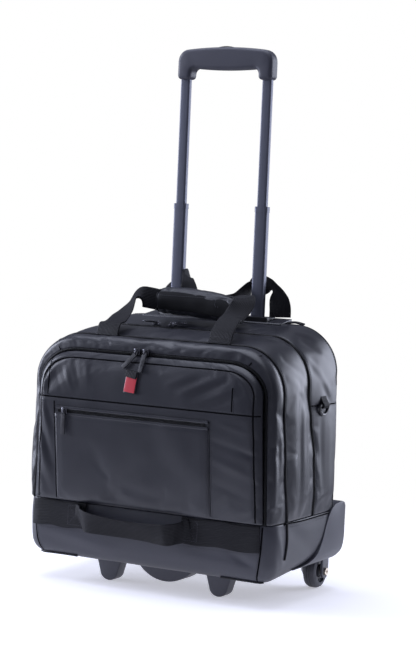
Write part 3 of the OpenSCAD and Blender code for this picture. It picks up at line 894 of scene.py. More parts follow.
@dataclass
class CaseForm:
    """The case's outside form: an arch of two sides, two round corners and a sloping top.

    Places on the arch are given by the share of the way from the left seam over the top to the right seam.
    """

    slope: float = math.radians(8.4)
    corner_r: float = 0.072
    shoulder: float = 0.216
    side_share: float = 0.22
    turn_share: float = 0.343
    pocket_r: float = 0.050
    pocket_long: float = 1.3

    def __post_init__(self) -> None:
        """Reads the frame's boxes."""
        tub_low, tub_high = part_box("base_tub")
        self.half, self.front, self.base, self.seam = tub_high.x, tub_low.y, tub_low.z, tub_high.z
        back_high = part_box("back_panel")[1]
        self.back, self.top = back_high.y, back_high.z
        pocket_low, pocket_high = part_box("front_panel")
        self.pocket_top = pocket_high.z
        self.pocket_low = pocket_high.x
        self.pocket_high = pocket_high.x - 0.007
        self.bulge = self.front - pocket_low.y

    def top_at(self, y: float) -> float:
        """Gives the height of the sloping top."""
        return self.top + (y - self.back) * math.tan(self.slope)

    def outline(self, share: float, low: float, high: float, top: float, seam: float, r: float,
                long: float = 1.0
                ) -> tuple[float, float, float, float]:
        """Gives x, height and the normal's x and height on an arch whose corners are long times as wide."""
        near = min(share, 1.0 - share)
        sign = -1.0 if share < 0.5 else 1.0
        if near < self.side_share:
            k = near / self.side_share
            z = seam + k * (top - r - seam)
            x = low + (high - low) * k
            normal = (1.0, 0.0)
        elif near < self.turn_share:
            turn = (near - self.side_share) / (self.turn_share - self.side_share) * math.pi / 2
            x, z = high - r * long * (1.0 - math.cos(turn)), top - r + r * math.sin(turn)
            normal = (math.cos(turn), math.sin(turn))
        else:
            x = (high - r * long) * (1.0 - (near - self.turn_share) / (0.5 - self.turn_share))
            z, normal = top, (0.0, 1.0)
        return sign * x, z, sign * normal[0], normal[1]

    def arch(self, share: float, y: float, grow: float = 0.0) -> Vector:
        """Gives a point on the arch at a depth, moved outwards by grow."""
        cos = math.cos(self.slope)
        drop = (y - self.back) * math.tan(self.slope)
        x, v, nx, nz = self.outline(
            share, self.half, self.shoulder, self.top * cos, (self.seam - drop) * cos, self.corner_r
        )
        return Vector((x + nx * grow, y, (v + nz * grow) / cos + drop))

    def pocket(self, share: float, grow: float = 0.0) -> Vector:
        """Gives a point on the front pocket's outline, in the plane of the front."""
        x, z, nx, nz = self.outline(
            share, self.pocket_low, self.pocket_high, self.pocket_top, self.seam, self.pocket_r,
            self.pocket_long
        )
        return Vector((x + nx * grow, self.front, z + nz * grow))

    def zip_y(self, share: float) -> float:
        """Gives the main zip's depth: it slants back down the sides."""
        near = min(share, 1.0 - share)
        return through_knots(
            [(0.0, 0.021), (0.04, 0.0245), (0.10, 0.020), (0.16, 0.006), (0.21, -0.006), (0.28, -0.003),
             (0.36, 0.004), (0.5, 0.006)], near)

    def welt_y(self, share: float) -> float:
        """Gives the piping's depth."""
        near = min(share, 1.0 - share)
        return through_knots([(0.0, -0.070), (0.10, -0.080), (0.21, -0.0885), (0.30, -0.086),
                              (0.5, -0.084)], near)

    def inset(self, x: float, z: float) -> float:
        """Gives how far a place on the front lies inside the pocket's outline."""
        lift = max(0.0, min(1.0, (z - self.seam) / (self.pocket_top - self.pocket_r - self.seam)))
        half = self.pocket_low + (self.pocket_high - self.pocket_low) * lift
        dx, dz = half - abs(x), self.pocket_top - z
        r, wide = self.pocket_r, self.pocket_r * self.pocket_long
        if dx < wide and dz < r:
            return min(r - math.hypot((wide - dx) / self.pocket_long, r - dz), dx, dz)
        return min(dx, dz)

    def half_width(self, z: float, grow: float = 0.0) -> float:
        """Gives the pocket's half width at a height."""
        lift = max(0.0, min(1.0, (z - self.seam) / (self.pocket_top - self.pocket_r - self.seam)))
        half = self.pocket_low + (self.pocket_high - self.pocket_low) * lift + grow
        r = self.pocket_r + grow
        over = z - (self.pocket_top + grow - r)
        return half if over <= 0 else half - (r - math.sqrt(max(0.0, r * r - over * over))) * self.pocket_long


def rim(share: float, reach: float = 0.03) -> float:
    """Gives 0 at both ends of a share from 0 to 1 and 1 over its middle."""
    return min(1.0, min(share, 1.0 - share) / reach)


def edge_pins(s: float, t: float) -> float:
    """Pins a sheet's four edges."""
    return 1.0 if min(s, 1.0 - s) < 0.002 or min(t, 1.0 - t) < 0.01 else 0.0


def ripple(point: Vector, scale: float, seed: float = 0.0) -> float:
    """Gives smooth noise from -1 to 1, the same on each run."""
    return noise.noise(Vector((point.x * scale + seed, point.y * scale, point.z * scale)))


# ---------------------------------------------------------------- sub-assemblies


@dataclass
class RearShell:
    """The rear half: its gusset, back, rim, zip, seams, corner tab and tube cover."""

    form: CaseForm
    columns: int = 200
    back_round: float = 0.016
    gap: float = 0.0012

    def build(self) -> Skin:
        """Makes the shell's pieces and returns its outside skin."""
        gusset = self._gusset()
        back = self._back()
        skin = Skin(gusset, back)
        self._zip(skin)
        self._seams(skin)
        self._hard_parts()
        return skin

    def _gusset(self) -> Piece:
        """Fabric from the main zip to the rounded edge of the back."""
        form = self.form

        def place(s: float, t: float) -> Vector:
            start = form.zip_y(s) + self.gap
            flat = form.back - self.back_round
            if t < 0.8:
                return form.arch(s, start + (flat - start) * t / 0.8)
            turn = (t - 0.8) / 0.2 * math.pi / 2
            point = form.arch(s, flat, -self.back_round * (1.0 - math.cos(turn)))
            return Vector((point.x, flat + self.back_round * math.sin(turn), point.z))

        folds = creases((
            (217, 30, 150, 217, 16, 262, 7, 2.4), (217, 48, 170, 217, 32, 300, 8, -1.8),
            (217, 70, 150, 217, 66, 270, 8, 1), (212.66, 30, 345, 217, 70, 300, 6, -1.2),
            (206.15, 12, 372, 217, 60, 322, 6, 1.6), (186.62, 30, 398, 212.66, 90, 345, 7, -1.4),
            (173.6, 50, 412, 201.81, 98, 375, 7, 1.2),
        ), mirrored=True)
        sheet = Sheet("rear_gusset_fabric", place, self.columns, 22)
        sheet.press(lambda s, t, p: 0.0022 * math.sin(math.pi * min(1.0, t / 0.95)) * rim(s)
                    + sum(f.at(p) for f in folds) * rim(t, 0.12) * rim(s, 0.02)
                    + 0.0009 * ripple(p, 16.0) * rim(t, 0.15) * rim(s, 0.02)
                    - 0.0012 * math.exp(-((t / 0.035) ** 2)))
        sheet.simulate(edge_pins, pressure=1.2, growth=0.003, cap=0.0020)
        self._open(sheet.piece)
        piece = sheet.thicken(0.0025)
        return dress(piece, "case", "coated_fabric", "main_gusset")

    def _open(self, piece: Piece, hem: float = 0.004) -> None:
        """Cuts the fabric away under the bezel, where the tubes pass through."""
        low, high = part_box("trolley_bezel")
        cells = bmesh.new()
        cells.from_mesh(piece.data)
        middles = [(cell, cell.calc_center_median()) for cell in cells.faces]
        gone = [cell for cell, at in middles if low.x + hem < at.x < high.x - hem
                and low.y + hem < at.y < high.y - hem and at.z > low.z - 0.02]
        bmesh.ops.delete(cells, geom=gone, context="FACES")
        cells.to_mesh(piece.data)
        cells.free()

    def _back(self) -> Piece:
        """Padded back panel, with a flatter field over the trolley tubes."""
        form = self.form
        low, high = form.seam - 0.002, form.top - self.back_round

        def place(s: float, t: float) -> Vector:
            z = low + (high - low) * t
            r = form.corner_r - self.back_round
            over = max(0.0, z - (high - r))
            spread = max(0.0, 1 - (z - form.base) / 0.3)
            half = form.shoulder - self.back_round + (form.half - form.shoulder) * spread
            half -= r - math.sqrt(max(0.0, r * r - over * over))
            return Vector(((2 * s - 1) * half, form.back, z))

        def height(s: float, t: float, p: Vector) -> float:
            channel = math.exp(-(((abs(p.x) - 0.112) / 0.004) ** 2))
            return (0.0016 * rim(s, 0.12) * rim(t, 0.1) - 0.0022 * channel * rim(t, 0.03)
                    + 0.0007 * ripple(p, 14.0, 3.0) * rim(s, 0.1) * rim(t, 0.1))

        sheet = Sheet("back_fabric", place, 80, 56)
        sheet.press(height)
        sheet.simulate(edge_pins, pressure=0.8, growth=0.002, cap=0.0012, frames=12)
        piece = sheet.thicken(0.0025)
        return dress(piece, "case", "coated_fabric", "back_panel")

    def _zip(self, skin: Skin) -> None:
        """Half of the main zip's tape and teeth, on the rear half's edge."""
        form = self.form
        course = [form.arch(k / 220, form.zip_y(k / 220) + 0.0012, 0.0002) for k in range(221)]
        path, normals = skin.lay(course, 0.005, 0.0002)
        tape = swept("main_zip_tape", path, normals, strap_outline(0.0045, 0.0012))
        dress(tape, "case", "zip_coil", "main_zip")
        visible = [form.arch(k / 300, form.zip_y(k / 300) - 0.0006, 0.0004) for k in range(301)]
        path, normals = skin.lay(visible, 0.0022, 0.0007)
        teeth = blocks("main_zip_teeth", path, normals, (1.3 * MM, 3.4 * MM, 1.3 * MM), 2.2 * MM)
        dress(teeth, "case", "zip_coil")

    def _seams(self, skin: Skin) -> None:
        """Seams of the rear gusset, the side panels and the back."""
        form = self.form
        shares = [k / 240 for k in range(241)]
        back_edge = [form.arch(s, form.back - self.back_round, 0.0) for s in shares]
        seam("back_edge", "case", "coated_fabric", skin, back_edge, (0.003,))
        zip_edge = [form.arch(s, form.zip_y(s) + 0.008, 0.0) for s in shares]
        seam("main_zip_edge", "case", "coated_fabric", skin, zip_edge, (0.0,), 0.0)
        for side, name in ((-1, "left"), (1, "right")):
            x = 0.22 * side
            level = [Vector((x, form.zip_y(0.19) + 0.004 + k * 0.005, 0.304)) for k in range(18)]
            seam(f"side_panel_{name}", "case", "coated_fabric", skin, level, (0.0025, -0.0025))
            column = [Vector((0.112 * side, 0.115, 0.145 + k * 0.01)) for k in range(26)]
            seam(f"tube_field_{name}", "case", "coated_fabric", skin, column, (0.003 * side,))

    def _hard_parts(self) -> None:
        """The rim around the trolley, the tube cover's lining and a webbing tab at the corner."""
        dress(moulded("trolley_rim", "top_rim", 2.6 * MM, 3), "case", "coated_fabric", "top_rim")
        lap = moulded("tube_lining", "tube_cover", 5 * MM, 3, 40.0)
        dress(lap, "case", "lining", "tube_cover")
        tab = curve_through([(0.126, 0.088, 0.4245), (0.138, 0.096, 0.4262), (0.152, 0.100, 0.4232)], 6)
        normals = [Vector((0.0, -0.12, 1.0)).normalized() for _ in tab]
        dress(swept("corner_tab", tab, normals, strap_outline(0.013, 0.0022)), "case", "webbing")


@dataclass
class FrontShell:
    """The opening front half: middle gusset, front gusset, piping, zip, divider and side bellows."""

    form: CaseForm
    columns: int = 200

    def build(self) -> Skin:
        """Makes the pieces and returns the outside skin."""
        middle = self._middle()
        front = self._front()
        skin = Skin(middle, front)
        self._piping()
        self._zip(skin)
        self._seams(skin)
        self._inside()
        return skin

    def _middle(self) -> Piece:
        """Fabric between the main zip and the piping, with the soft upright folds of a filled case."""
        form = self.form

        def place(s: float, t: float) -> Vector:
            start, end = form.welt_y(s) - 0.0012, form.zip_y(s) - 0.0012
            return form.arch(s, start + (end - start) * t)

        folds = creases((
            (219, -52, 140, 219, -62, 330, 10, 2.6), (219, -36, 137, 219, -40, 340, 6, -2.2),
            (219, -18, 150, 219, -30, 300, 7, 1.6), (219, 4, 140, 219, -14, 280, 5, -1.2),
            (210.24, -70, 350, 219, -20, 320, 6, 1.2), (197.1, -60, 372, 214.62, -12, 345, 6, -1.2),
            (219, -66, 220, 219, -46, 160, 5, -1),
        ), mirrored=True)
        folds += creases((
            (-120, -40, 404, 60, -30, 405, 12, 1.2), (130, -60, 401, 170, -10, 404, 10, -1.6),
        ))
        sheet = Sheet("middle_gusset_fabric", place, self.columns, 18)
        sheet.press(lambda s, t, p: 0.0026 * math.sin(math.pi * t) * rim(s)
                    + sum(f.at(p) for f in folds) * rim(t, 0.12) * rim(s, 0.02)
                    + 0.0009 * ripple(p, 18.0, 5.0) * rim(t, 0.15) * rim(s, 0.02)
                    - 0.0012 * math.exp(-((t / 0.03) ** 2)) - 0.0012 * math.exp(-(((1 - t) / 0.035) ** 2)))
        sheet.simulate(edge_pins, pressure=1.2, growth=0.004, cap=0.0022)
        piece = sheet.thicken(0.0025)
        return dress(piece, "front_half", "coated_fabric", "middle_gusset")

    def _front(self) -> Piece:
        """Fabric that rounds the front edge, from the piping to the pocket's zip."""
        form = self.form
        square = 2.0 / 2.7

        def place(s: float, t: float) -> Vector:
            inner, outer = form.pocket(s, 0.0030), form.arch(s, form.welt_y(s) - 0.0006)
            turn = t * math.pi / 2
            out, ahead = math.cos(turn) ** square, math.sin(turn) ** square
            y = outer.y + (form.front - outer.y) * ahead
            return Vector((inner.x + (outer.x - inner.x) * out, y, inner.z + (outer.z - inner.z) * out))

        folds = creases((
            (216, -100, 150, 216, -106, 300, 6, -1.8), (211.68, -108, 160, 211.68, -112, 240, 6, 2.2),
            (200.88, -100, 365, 216, -98, 310, 6, 1.8),
        ), mirrored=True)
        sheet = Sheet("front_gusset_fabric", place, self.columns, 16)
        sheet.press(lambda s, t, p: 0.0016 * math.sin(math.pi * t) * rim(s)
                    + sum(f.at(p) for f in folds) * rim(t, 0.15) * rim(s, 0.02)
                    + 0.0010 * ripple(p, 20.0, 8.0) * rim(t, 0.15) * rim(s, 0.02))
        sheet.simulate(edge_pins, pressure=1.0, growth=0.004, cap=0.0018)
        piece = sheet.thicken(0.0025)
        return dress(piece, "front_half", "coated_fabric", "front_gusset")

    def _piping(self) -> None:
        """Round piping between the middle and front gussets."""
        form = self.form
        shares = [k / 260 for k in range(261)]
        path = [form.arch(s, form.welt_y(s) - 0.001, 0.0008) for s in shares]
        normals = [form.arch(s, 0.0, 0.01) - form.arch(s, 0.0) for s in shares]
        dress(swept("piping_cord", path, normals, round_outline(0.0021, 10)), "front_half", "piping_cord",
              "piping")

    def _zip(self, skin: Skin) -> None:
        """The front pocket's zip: tape and a row of teeth around the pocket."""
        form = self.form
        course = [form.pocket(k / 260, 0.0014) for k in range(261)]
        normals = fixed_normals((0.0, -1.0, 0.0), len(course))
        lifted = [p + Vector((0.0, -0.0004, 0.0)) for p in course]
        tape = swept("front_zip_tape", lifted, normals, strap_outline(0.0036, 0.0012))
        dress(tape, "front_half", "zip_coil", "front_zip")
        path = even([p + Vector((0.0, -0.0012, 0.0)) for p in course], 0.0022)
        teeth = blocks("front_zip_teeth", path, fixed_normals((0.0, -1.0, 0.0), len(path)),
                       (1.3 * MM, 2.2 * MM, 1.2 * MM), 2.2 * MM)
        dress(teeth, "front_half", "zip_coil")

    def _seams(self, skin: Skin) -> None:
        """Stitching beside the piping and the zips, and the short slanting corner seams."""
        form = self.form
        shares = [k / 240 for k in range(241)]
        welt = [form.arch(s, form.welt_y(s) + 0.005) for s in shares]
        seam("welt", "front_half", "coated_fabric", skin, welt, (0.0,), 0.0)
        zip_edge = [form.arch(s, form.zip_y(s) - 0.008) for s in shares]
        seam("zip_edge", "front_half", "coated_fabric", skin, zip_edge, (0.0,), 0.0)
        for side, name in ((-1, "left"), (1, "right")):
            start, run = Vector((side * 0.168, -0.121, 0.369)), Vector((side * 0.016, 0.020, 0.021))
            slant = [start + run * k / 12 for k in range(13)]
            seam(f"corner_dart_{name}", "front_half", "coated_fabric", skin, slant, (0.0025,))

    def _inside(self) -> None:
        """The divider and the folding bellows at the sides of the opening."""
        form = self.form
        low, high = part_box("divider_panel")

        def place(s: float, t: float) -> Vector:
            z = low.z + 0.001 + (high.z - low.z - 0.002) * t
            r = form.corner_r - 0.005
            over = max(0.0, z - (high.z - r))
            half = high.x - 0.001 - (r - math.sqrt(max(0.0, r * r - over * over)))
            return Vector(((2 * s - 1) * half, (low.y + high.y) / 2, z))

        sheet = Sheet("divider_fabric", place, 60, 40)
        sheet.press(lambda s, t, p: 0.0012 * ripple(p, 10.0, 11.0) * rim(s, 0.1) * rim(t, 0.1))
        divider = sheet.thicken(0.0022, 0)
        dress(divider, "front_half", "lining", "divider_panel")
        for side, name in ((-1, "left"), (1, "right")):
            x = side * (form.half - 0.0062)

            def fan(s: float, t: float, x: float = x, side: int = side) -> Vector:
                pleat = -side * 0.004 * abs(math.sin(2.0 * math.pi * t))
                return Vector((x + pleat, -0.070 + 0.085 * s, 0.119 + 0.030 * t))

            bellows = Sheet(f"side_bellows_{name}", fan, 24, 16).thicken(0.0008, 0)
            bellows.data.materials.append(MATERIALS["lining"])
            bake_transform(bellows)


@dataclass
class PocketPanel:
    """The bulged front pocket: its panel, flat pocket, zips, seams and label."""

    form: CaseForm
    full_z: float = 0.290
    foot_depth: float = 0.007
    border: float = 0.0115
    level_seam: float = 0.2965
    pocket_left: float = -0.163
    pocket_right: float = 0.114
    zip_z: float = 0.276
    shoulder: float = 0.014

    def depth(self, x: float, z: float) -> float:
        """Gives how far the filled pocket stands in front of the case."""
        form = self.form
        if z < self.full_z:
            share = (z - form.seam) / (self.full_z - form.seam)
            stand = self.foot_depth + (form.bulge - self.foot_depth) * share ** 0.9
        else:
            share = (z - self.full_z) / (form.pocket_top - self.full_z)
            stand = form.bulge * math.sqrt(max(0.0, 1.0 - share ** 2.4))
        edge = max(0.0, form.inset(x, max(z, form.seam)))
        return stand * math.sin(math.pi / 2 * min(1.0, edge / self.shoulder)) ** 0.5

    def build(self) -> Skin:
        """Makes the pieces and returns the panel's skin."""
        panel = self._panel()
        skin = Skin(panel)
        self._flat_pocket(skin)
        self._pocket_zip(skin)
        self._seams(skin)
        self._label(skin)
        return skin

    def _panel(self) -> Piece:
        """The outer fabric of the pocket, with the tension folds of its upper corners."""
        form = self.form
        low, high = form.seam + 0.0005, form.pocket_top - 0.0006

        def place(s: float, t: float) -> Vector:
            z = low + (high - low) * t
            x = (2 * s - 1) * form.half_width(z, -0.0006)
            return Vector((x, form.front - self.depth(x, z), z))

        folds = creases((
            (-168, -134, 340, -150, -134, 306, 4, -0.7), (-152, -134, 350, -132, -134, 310, 4, 0.9),
            (-134, -134, 354, -118, -134, 318, 4, -0.7), (-112, -134, 356, -104, -134, 324, 5, 0.6),
            (176, -134, 330, 118, -134, 303, 4, -0.7), (166, -134, 340, 92, -134, 306, 4.5, 1),
            (150, -134, 348, 76, -134, 312, 4, -0.8), (132, -134, 352, 62, -134, 318, 4, 0.9),
            (112, -134, 354, 52, -134, 325, 4, -0.6), (90, -134, 355, 40, -134, 332, 4, 0.5),
            (-186, -134, 288, -172, -134, 232, 5, 1.8), (-194, -134, 262, -168, -134, 190, 6, -2.2),
            (-196, -134, 232, -166, -134, 152, 6, 2.4), (-198, -134, 190, -172, -134, 138, 5, -1.8),
            (-180, -134, 286, -166, -134, 250, 4, -1), (126, -134, 284, 176, -134, 270, 5, 0.6),
            (122, -134, 252, 188, -134, 236, 6, -0.8), (120, -134, 226, 186, -134, 204, 7, 0.9),
            (122, -134, 188, 184, -134, 170, 6, -0.8), (132, -134, 162, 192, -134, 141, 5, 1.3),
            (140, -134, 150, 190, -134, 134, 4, -1), (-60, -134, 168, 60, -134, 150, 10, -1),
            (20, -134, 290, 90, -134, 200, 24, 1), (-130, -134, 235, -60, -134, 185, 24, -1),
        ))

        def height(s: float, t: float, p: Vector) -> float:
            edge = form.inset(p.x, p.z)
            border = -0.0010 * math.exp(-(((edge - self.border) / 0.0026) ** 2))
            level = -0.0008 * math.exp(-(((p.z - self.level_seam) / 0.0024) ** 2))
            calm = min(1.0, edge / 0.016)
            creased = sum(f.at(p) for f in folds) + 0.0008 * ripple(p, 22.0, 2.0)
            return border + (level + creased) * calm

        sheet = Sheet("front_panel_fabric", place, 112, 76)
        sheet.press(height)
        sheet.simulate(edge_pins, pressure=0.8, growth=0.003, cap=0.0012)
        piece = sheet.thicken(0.0022)
        return dress(piece, "front_panel", "coated_fabric", "front_panel")

    def _flat_pocket(self, skin: Skin) -> None:
        """The flat pocket laid on the panel, from the tub's seam up to its zip."""
        low, high = self.form.seam + 0.001, self.zip_z - 0.0042

        def place(s: float, t: float) -> Vector:
            z = low + (high - low) * t
            left = self.pocket_left + 0.004 * (1 - t)
            right = self.pocket_right + 0.004 * (1 - t)
            x = left + (right - left) * s
            point, _ = skin.front(x, z, 0.0019)
            return point

        sheet = Sheet("flat_pocket_fabric", place, 96, 50)
        sheet.press(lambda s, t, p: 0.0011 * rim(s, 0.05) * rim(t, 0.05)
                    + 0.0004 * ripple(p, 25.0, 7.0) * rim(s, 0.1)
                    - 0.0016 * (1 - rim(s, 0.012)) - 0.0012 * (1 - rim(t, 0.015)))
        piece = sheet.thicken(0.0014, 1)
        dress(piece, "front_panel", "coated_fabric", "flat_pocket")
        face = Skin(piece)
        left = [Vector((self.pocket_left + 0.0052, -0.14, low + 0.004 * k)) for k in range(35)]
        right = [Vector((self.pocket_right - 0.0005, -0.14, low + 0.004 * k)) for k in range(35)]
        seam("pocket_left", "front_panel", "coated_fabric", face, left, (0.0,), 0.0)
        seam("pocket_right", "front_panel", "coated_fabric", face, right, (0.0,), 0.0)

    def _pocket_zip(self, skin: Skin) -> None:
        """The flat pocket's zip, set in a slit, and the flap above it."""
        cad_low, cad_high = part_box("pocket_zip")
        long = cad_high.x - cad_low.x
        path, normals = skin.across([(cad_low.x + long * k / 120, self.zip_z) for k in range(121)], 0.0004)
        dress(swept("pocket_zip_tape", path, normals, strap_outline(0.0074, 0.0012)), "front_panel",
              "zip_coil",
              "pocket_zip")
        lifted = [p + n * 0.0008 for p, n in zip(path, normals)]
        teeth = blocks("pocket_zip_teeth", lifted, normals, (1.3 * MM, 3.4 * MM, 1.3 * MM), 2.2 * MM)
        dress(teeth, "front_panel", "zip_coil")
        for name, z in (("upper", self.zip_z + 0.0052), ("lower", self.zip_z - 0.0048)):
            edge = skin.across([(cad_low.x - 0.004 + (long + 0.01) * k / 120, z) for k in range(121)], 0.0012)
            lip = swept(f"pocket_zip_lip_{name}", *edge, strap_outline(0.0042, 0.0022))
            dress(lip, "front_panel", "coated_fabric")

    def _seams(self, skin: Skin) -> None:
        """The panel's border seam, level seam, and short upright seams."""
        form = self.form
        edge = [form.pocket(k / 260, -self.border) for k in range(261)]
        border = skin.across([(at.x, max(at.z, form.seam + 0.003)) for at in edge])[0]
        seam("panel_border", "front_panel", "coated_fabric", skin, border, (0.003,), 0.0013)
        half = form.half_width(self.level_seam) - 0.003
        level = skin.across([(-half + 2 * half * k / 160, self.level_seam) for k in range(161)])[0]
        seam("panel_level", "front_panel", "coated_fabric", skin, level, (-0.003,), 0.0012)
        for name, x, low, high in (
            ("left", -0.178, 0.300, 0.356), ("right", 0.152, 0.300, 0.336),
            ("pocket_left", self.pocket_left - 0.0008, 0.136, 0.290),
            ("pocket_right", self.pocket_right + 0.0012, 0.136, 0.282),
        ):
            tall = high - low
            upright = skin.across([(x + 0.004 * tall / 0.15 * (1 - k / 40), low + tall * k / 40)
                                   for k in range(41)])[0]
            seam(f"panel_{name}", "front_panel", "coated_fabric", skin, upright, (0.0025,),
                 0.0005 if name == "pocket_right" else 0.0011)

    def _label(self, skin: Skin) -> None:
        """A plain coloured label that hangs from a dark tab."""
        low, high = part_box("label")
        x, top = (low.x + high.x) / 2, high.z

        def strip(name: str, z0: float, z1: float, wide: float, thick: float, lift: float) -> Piece:
            """Makes a strip that leans slightly and stands a little off the panel at its foot."""
            spots = [skin.front(x + 0.002 * (u - 0.5), z0 + (z1 - z0) * u, lift * (1.6 - 0.6 * u))
                     for u in (k / 10 for k in range(11))]
            return swept(name, [s[0] for s in spots], [s[1] for s in spots], strap_outline(wide, thick))

        tab = strip("label_tab", top - 0.008, top + 0.003, 0.0215, 0.0018, 0.0022)
        dress(tab, "front_panel", "webbing")
        backing = strip("label_backing", low.z - 0.0006, top - 0.001, high.x - low.x + 0.0012, 0.0014, 0.0014)
        dress(backing, "front_panel", "label_cloth", finish="pull_rubber")
        face = strip("label_face", low.z + 0.0008, top - 0.007, high.x - low.x - 0.0008, 0.0012, 0.0024)
        dress(face, "front_panel", "label_cloth", "label")


@dataclass
class BaseTub:
    """The tough lower tub with its webbing band, lifting loop, welts and bottom."""

    form: CaseForm
    round_r: float = 0.028
    front_corner: float = 0.024
    back_corner: float = 0.014
    band_z: float = 0.1095
    band_wide: float = 0.041
    loop_left: float = -0.116
    loop_right: float = 0.070

    def build(self) -> None:
        """Makes the tub's pieces."""
        skin = Skin(self._tub())
        self._band(skin)
        self._loop()
        self._seams(skin)

    def _ring(self, share: float, inset: float) -> tuple[float, float]:
        """Gives x and y at a share of the way round the plan, from the middle of the back, going left."""
        form = self.form
        half, front, back = form.half - inset, form.front + inset, form.back - inset
        runs = []
        for sign_x, sign_y, r in ((-1, 1, self.back_corner), (-1, -1, self.front_corner),
                                  (1, -1, self.front_corner), (1, 1, self.back_corner)):
            r = min(max(r - 0.5 * inset, 0.006), (back - front) / 2 - 0.0001)
            r = r if back - front > 0.013 else 0.0001
            cx, cy = sign_x * (half - r), (back - r) if sign_y > 0 else (front + r)
            start = {(-1, 1): 90, (-1, -1): 180, (1, -1): 270, (1, 1): 0}[(sign_x, sign_y)]
            runs += [Vector((cx, cy, 0.0)) + Vector((*polar(r, start + 11.25 * k), 0.0)) for k in range(9)]
        loop = [Vector((0.0, back, 0.0)), *runs, Vector((0.0, back, 0.0))]
        lengths = [0.0]
        for a, b in zip(loop, loop[1:]):
            lengths.append(lengths[-1] + (b - a).length)
        at = share * lengths[-1]
        for k in range(len(loop) - 1):
            if at <= lengths[k + 1] + 1e-9:
                point = loop[k].lerp(loop[k + 1], (at - lengths[k]) / max(lengths[k + 1] - lengths[k], 1e-9))
                return point.x, point.y
        return loop[-1].x, loop[-1].y

    def _tub(self) -> Piece:
        """The tub's walls, rounded lower edge and bottom as one moulded fabric."""
        form = self.form
        deepest = (form.back - form.front) / 2 - 0.0005

        def place(s: float, t: float) -> Vector:
            if t < 0.5:
                inset, drop = 0.0, t / 0.5 * (form.seam - form.base - self.round_r)
                z = form.seam - 0.0005 - drop
            elif t < 0.75:
                turn = (t - 0.5) / 0.25 * math.pi / 2
                inset = self.round_r * (1 - math.cos(turn))
                z = form.base + self.round_r * (1 - math.sin(turn))
            else:
                share = (t - 0.75) / 0.25
                inset = self.round_r + (deepest - self.round_r) * share
                z = form.base
            x, y = self._ring(s, inset)
            ahead = max(0.0, min(1.0, (0.02 - y) / 0.12))
            sag = 0.009 * ahead * max(0.0, min(1.0, (t - 0.3) / 0.3))
            return Vector((x, y, z - sag))

        folds = creases((
            (-190, -119, 84, -60, -119, 62, 10, 1.6), (-170, -119, 66, -60, -119, 50, 8, -1.4),
            (60, -119, 70, 180, -119, 60, 10, 1.4), (150, -119, 86, 198, -119, 62, 7, -1.8),
            (205, -110, 110, 210, -104, 56, 6, -2.2), (221, -60, 120, 221, 40, 70, 12, -1.2),
            (-221, -60, 120, -221, 40, 70, 12, -1.2), (216, -96, 116, 219, -80, 70, 7, 2),
        ))
        sheet = Sheet("tub_fabric", place, 260, 44)
        sheet.press(lambda s, t, p: (0.0014 * math.sin(math.pi * min(1.0, t / 0.5)) if t < 0.5 else 0.0)
                    + (sum(f.at(p) for f in folds) + 0.0008 * ripple(p, 14.0, 4.0)) * rim(t, 0.06))
        piece = sheet.piece
        pick(piece, "FACE", [True] * len(piece.data.polygons))
        bpy.ops.mesh.remove_doubles(threshold=0.05 * MM)
        bpy.ops.object.mode_set(mode="OBJECT")
        pick(piece, "FACE", [abs(f.center.x) > 0.164 and f.center.y > 0.084 and f.center.z < 0.062
                             for f in piece.data.polygons])
        bpy.ops.mesh.delete(type="FACE")
        bpy.ops.object.mode_set(mode="OBJECT")
        sheet.thicken(0.003)
        return dress(piece, "case", "tough_fabric", "base_tub")

    def _band(self, skin: Skin) -> None:
        """The flat webbing band, sewn across the front on each side of the loop."""
        bands, boxes = [], []
        for name, x0, x1 in (("left", -0.206, self.loop_left + 0.006),
                             ("right", self.loop_right - 0.006, 0.2005)):
            places = [(x0 + (x1 - x0) * k / 40, self.band_z + 0.0012 * math.sin(11.0 * k / 40 + x0 * 40))
                      for k in range(41)]
            bands.append(swept(f"band_{name}", *skin.across(places, 0.0012),
                               strap_outline(self.band_wide, 0.0024)))
            inner = (x1 - 0.003, x1 - 0.030) if x0 < 0 else (x0 + 0.003, x0 + 0.030)
            a, b = self.band_z + 0.015, self.band_z - 0.015
            corners = [(inner[0], a), (inner[1], a), (inner[1], b), (inner[0], b), (inner[0], a),
                       (inner[1], b),
                       (inner[1], a), (inner[0], b)]
            run = even(skin.across(corners, 0.0028)[0], 0.002)
            boxes.append(blocks(f"box_{name}", run, fixed_normals((0.0, -1.0, 0.0), len(run)),
                                (2.6 * MM, 0.6 * MM, 0.5 * MM), 3.8 * MM))
        dress(joined("front_band", bands), "case", "webbing", "webbing_band")
        dress(joined("front_band_box_stitching", boxes), "case", "webbing", finish="thread")

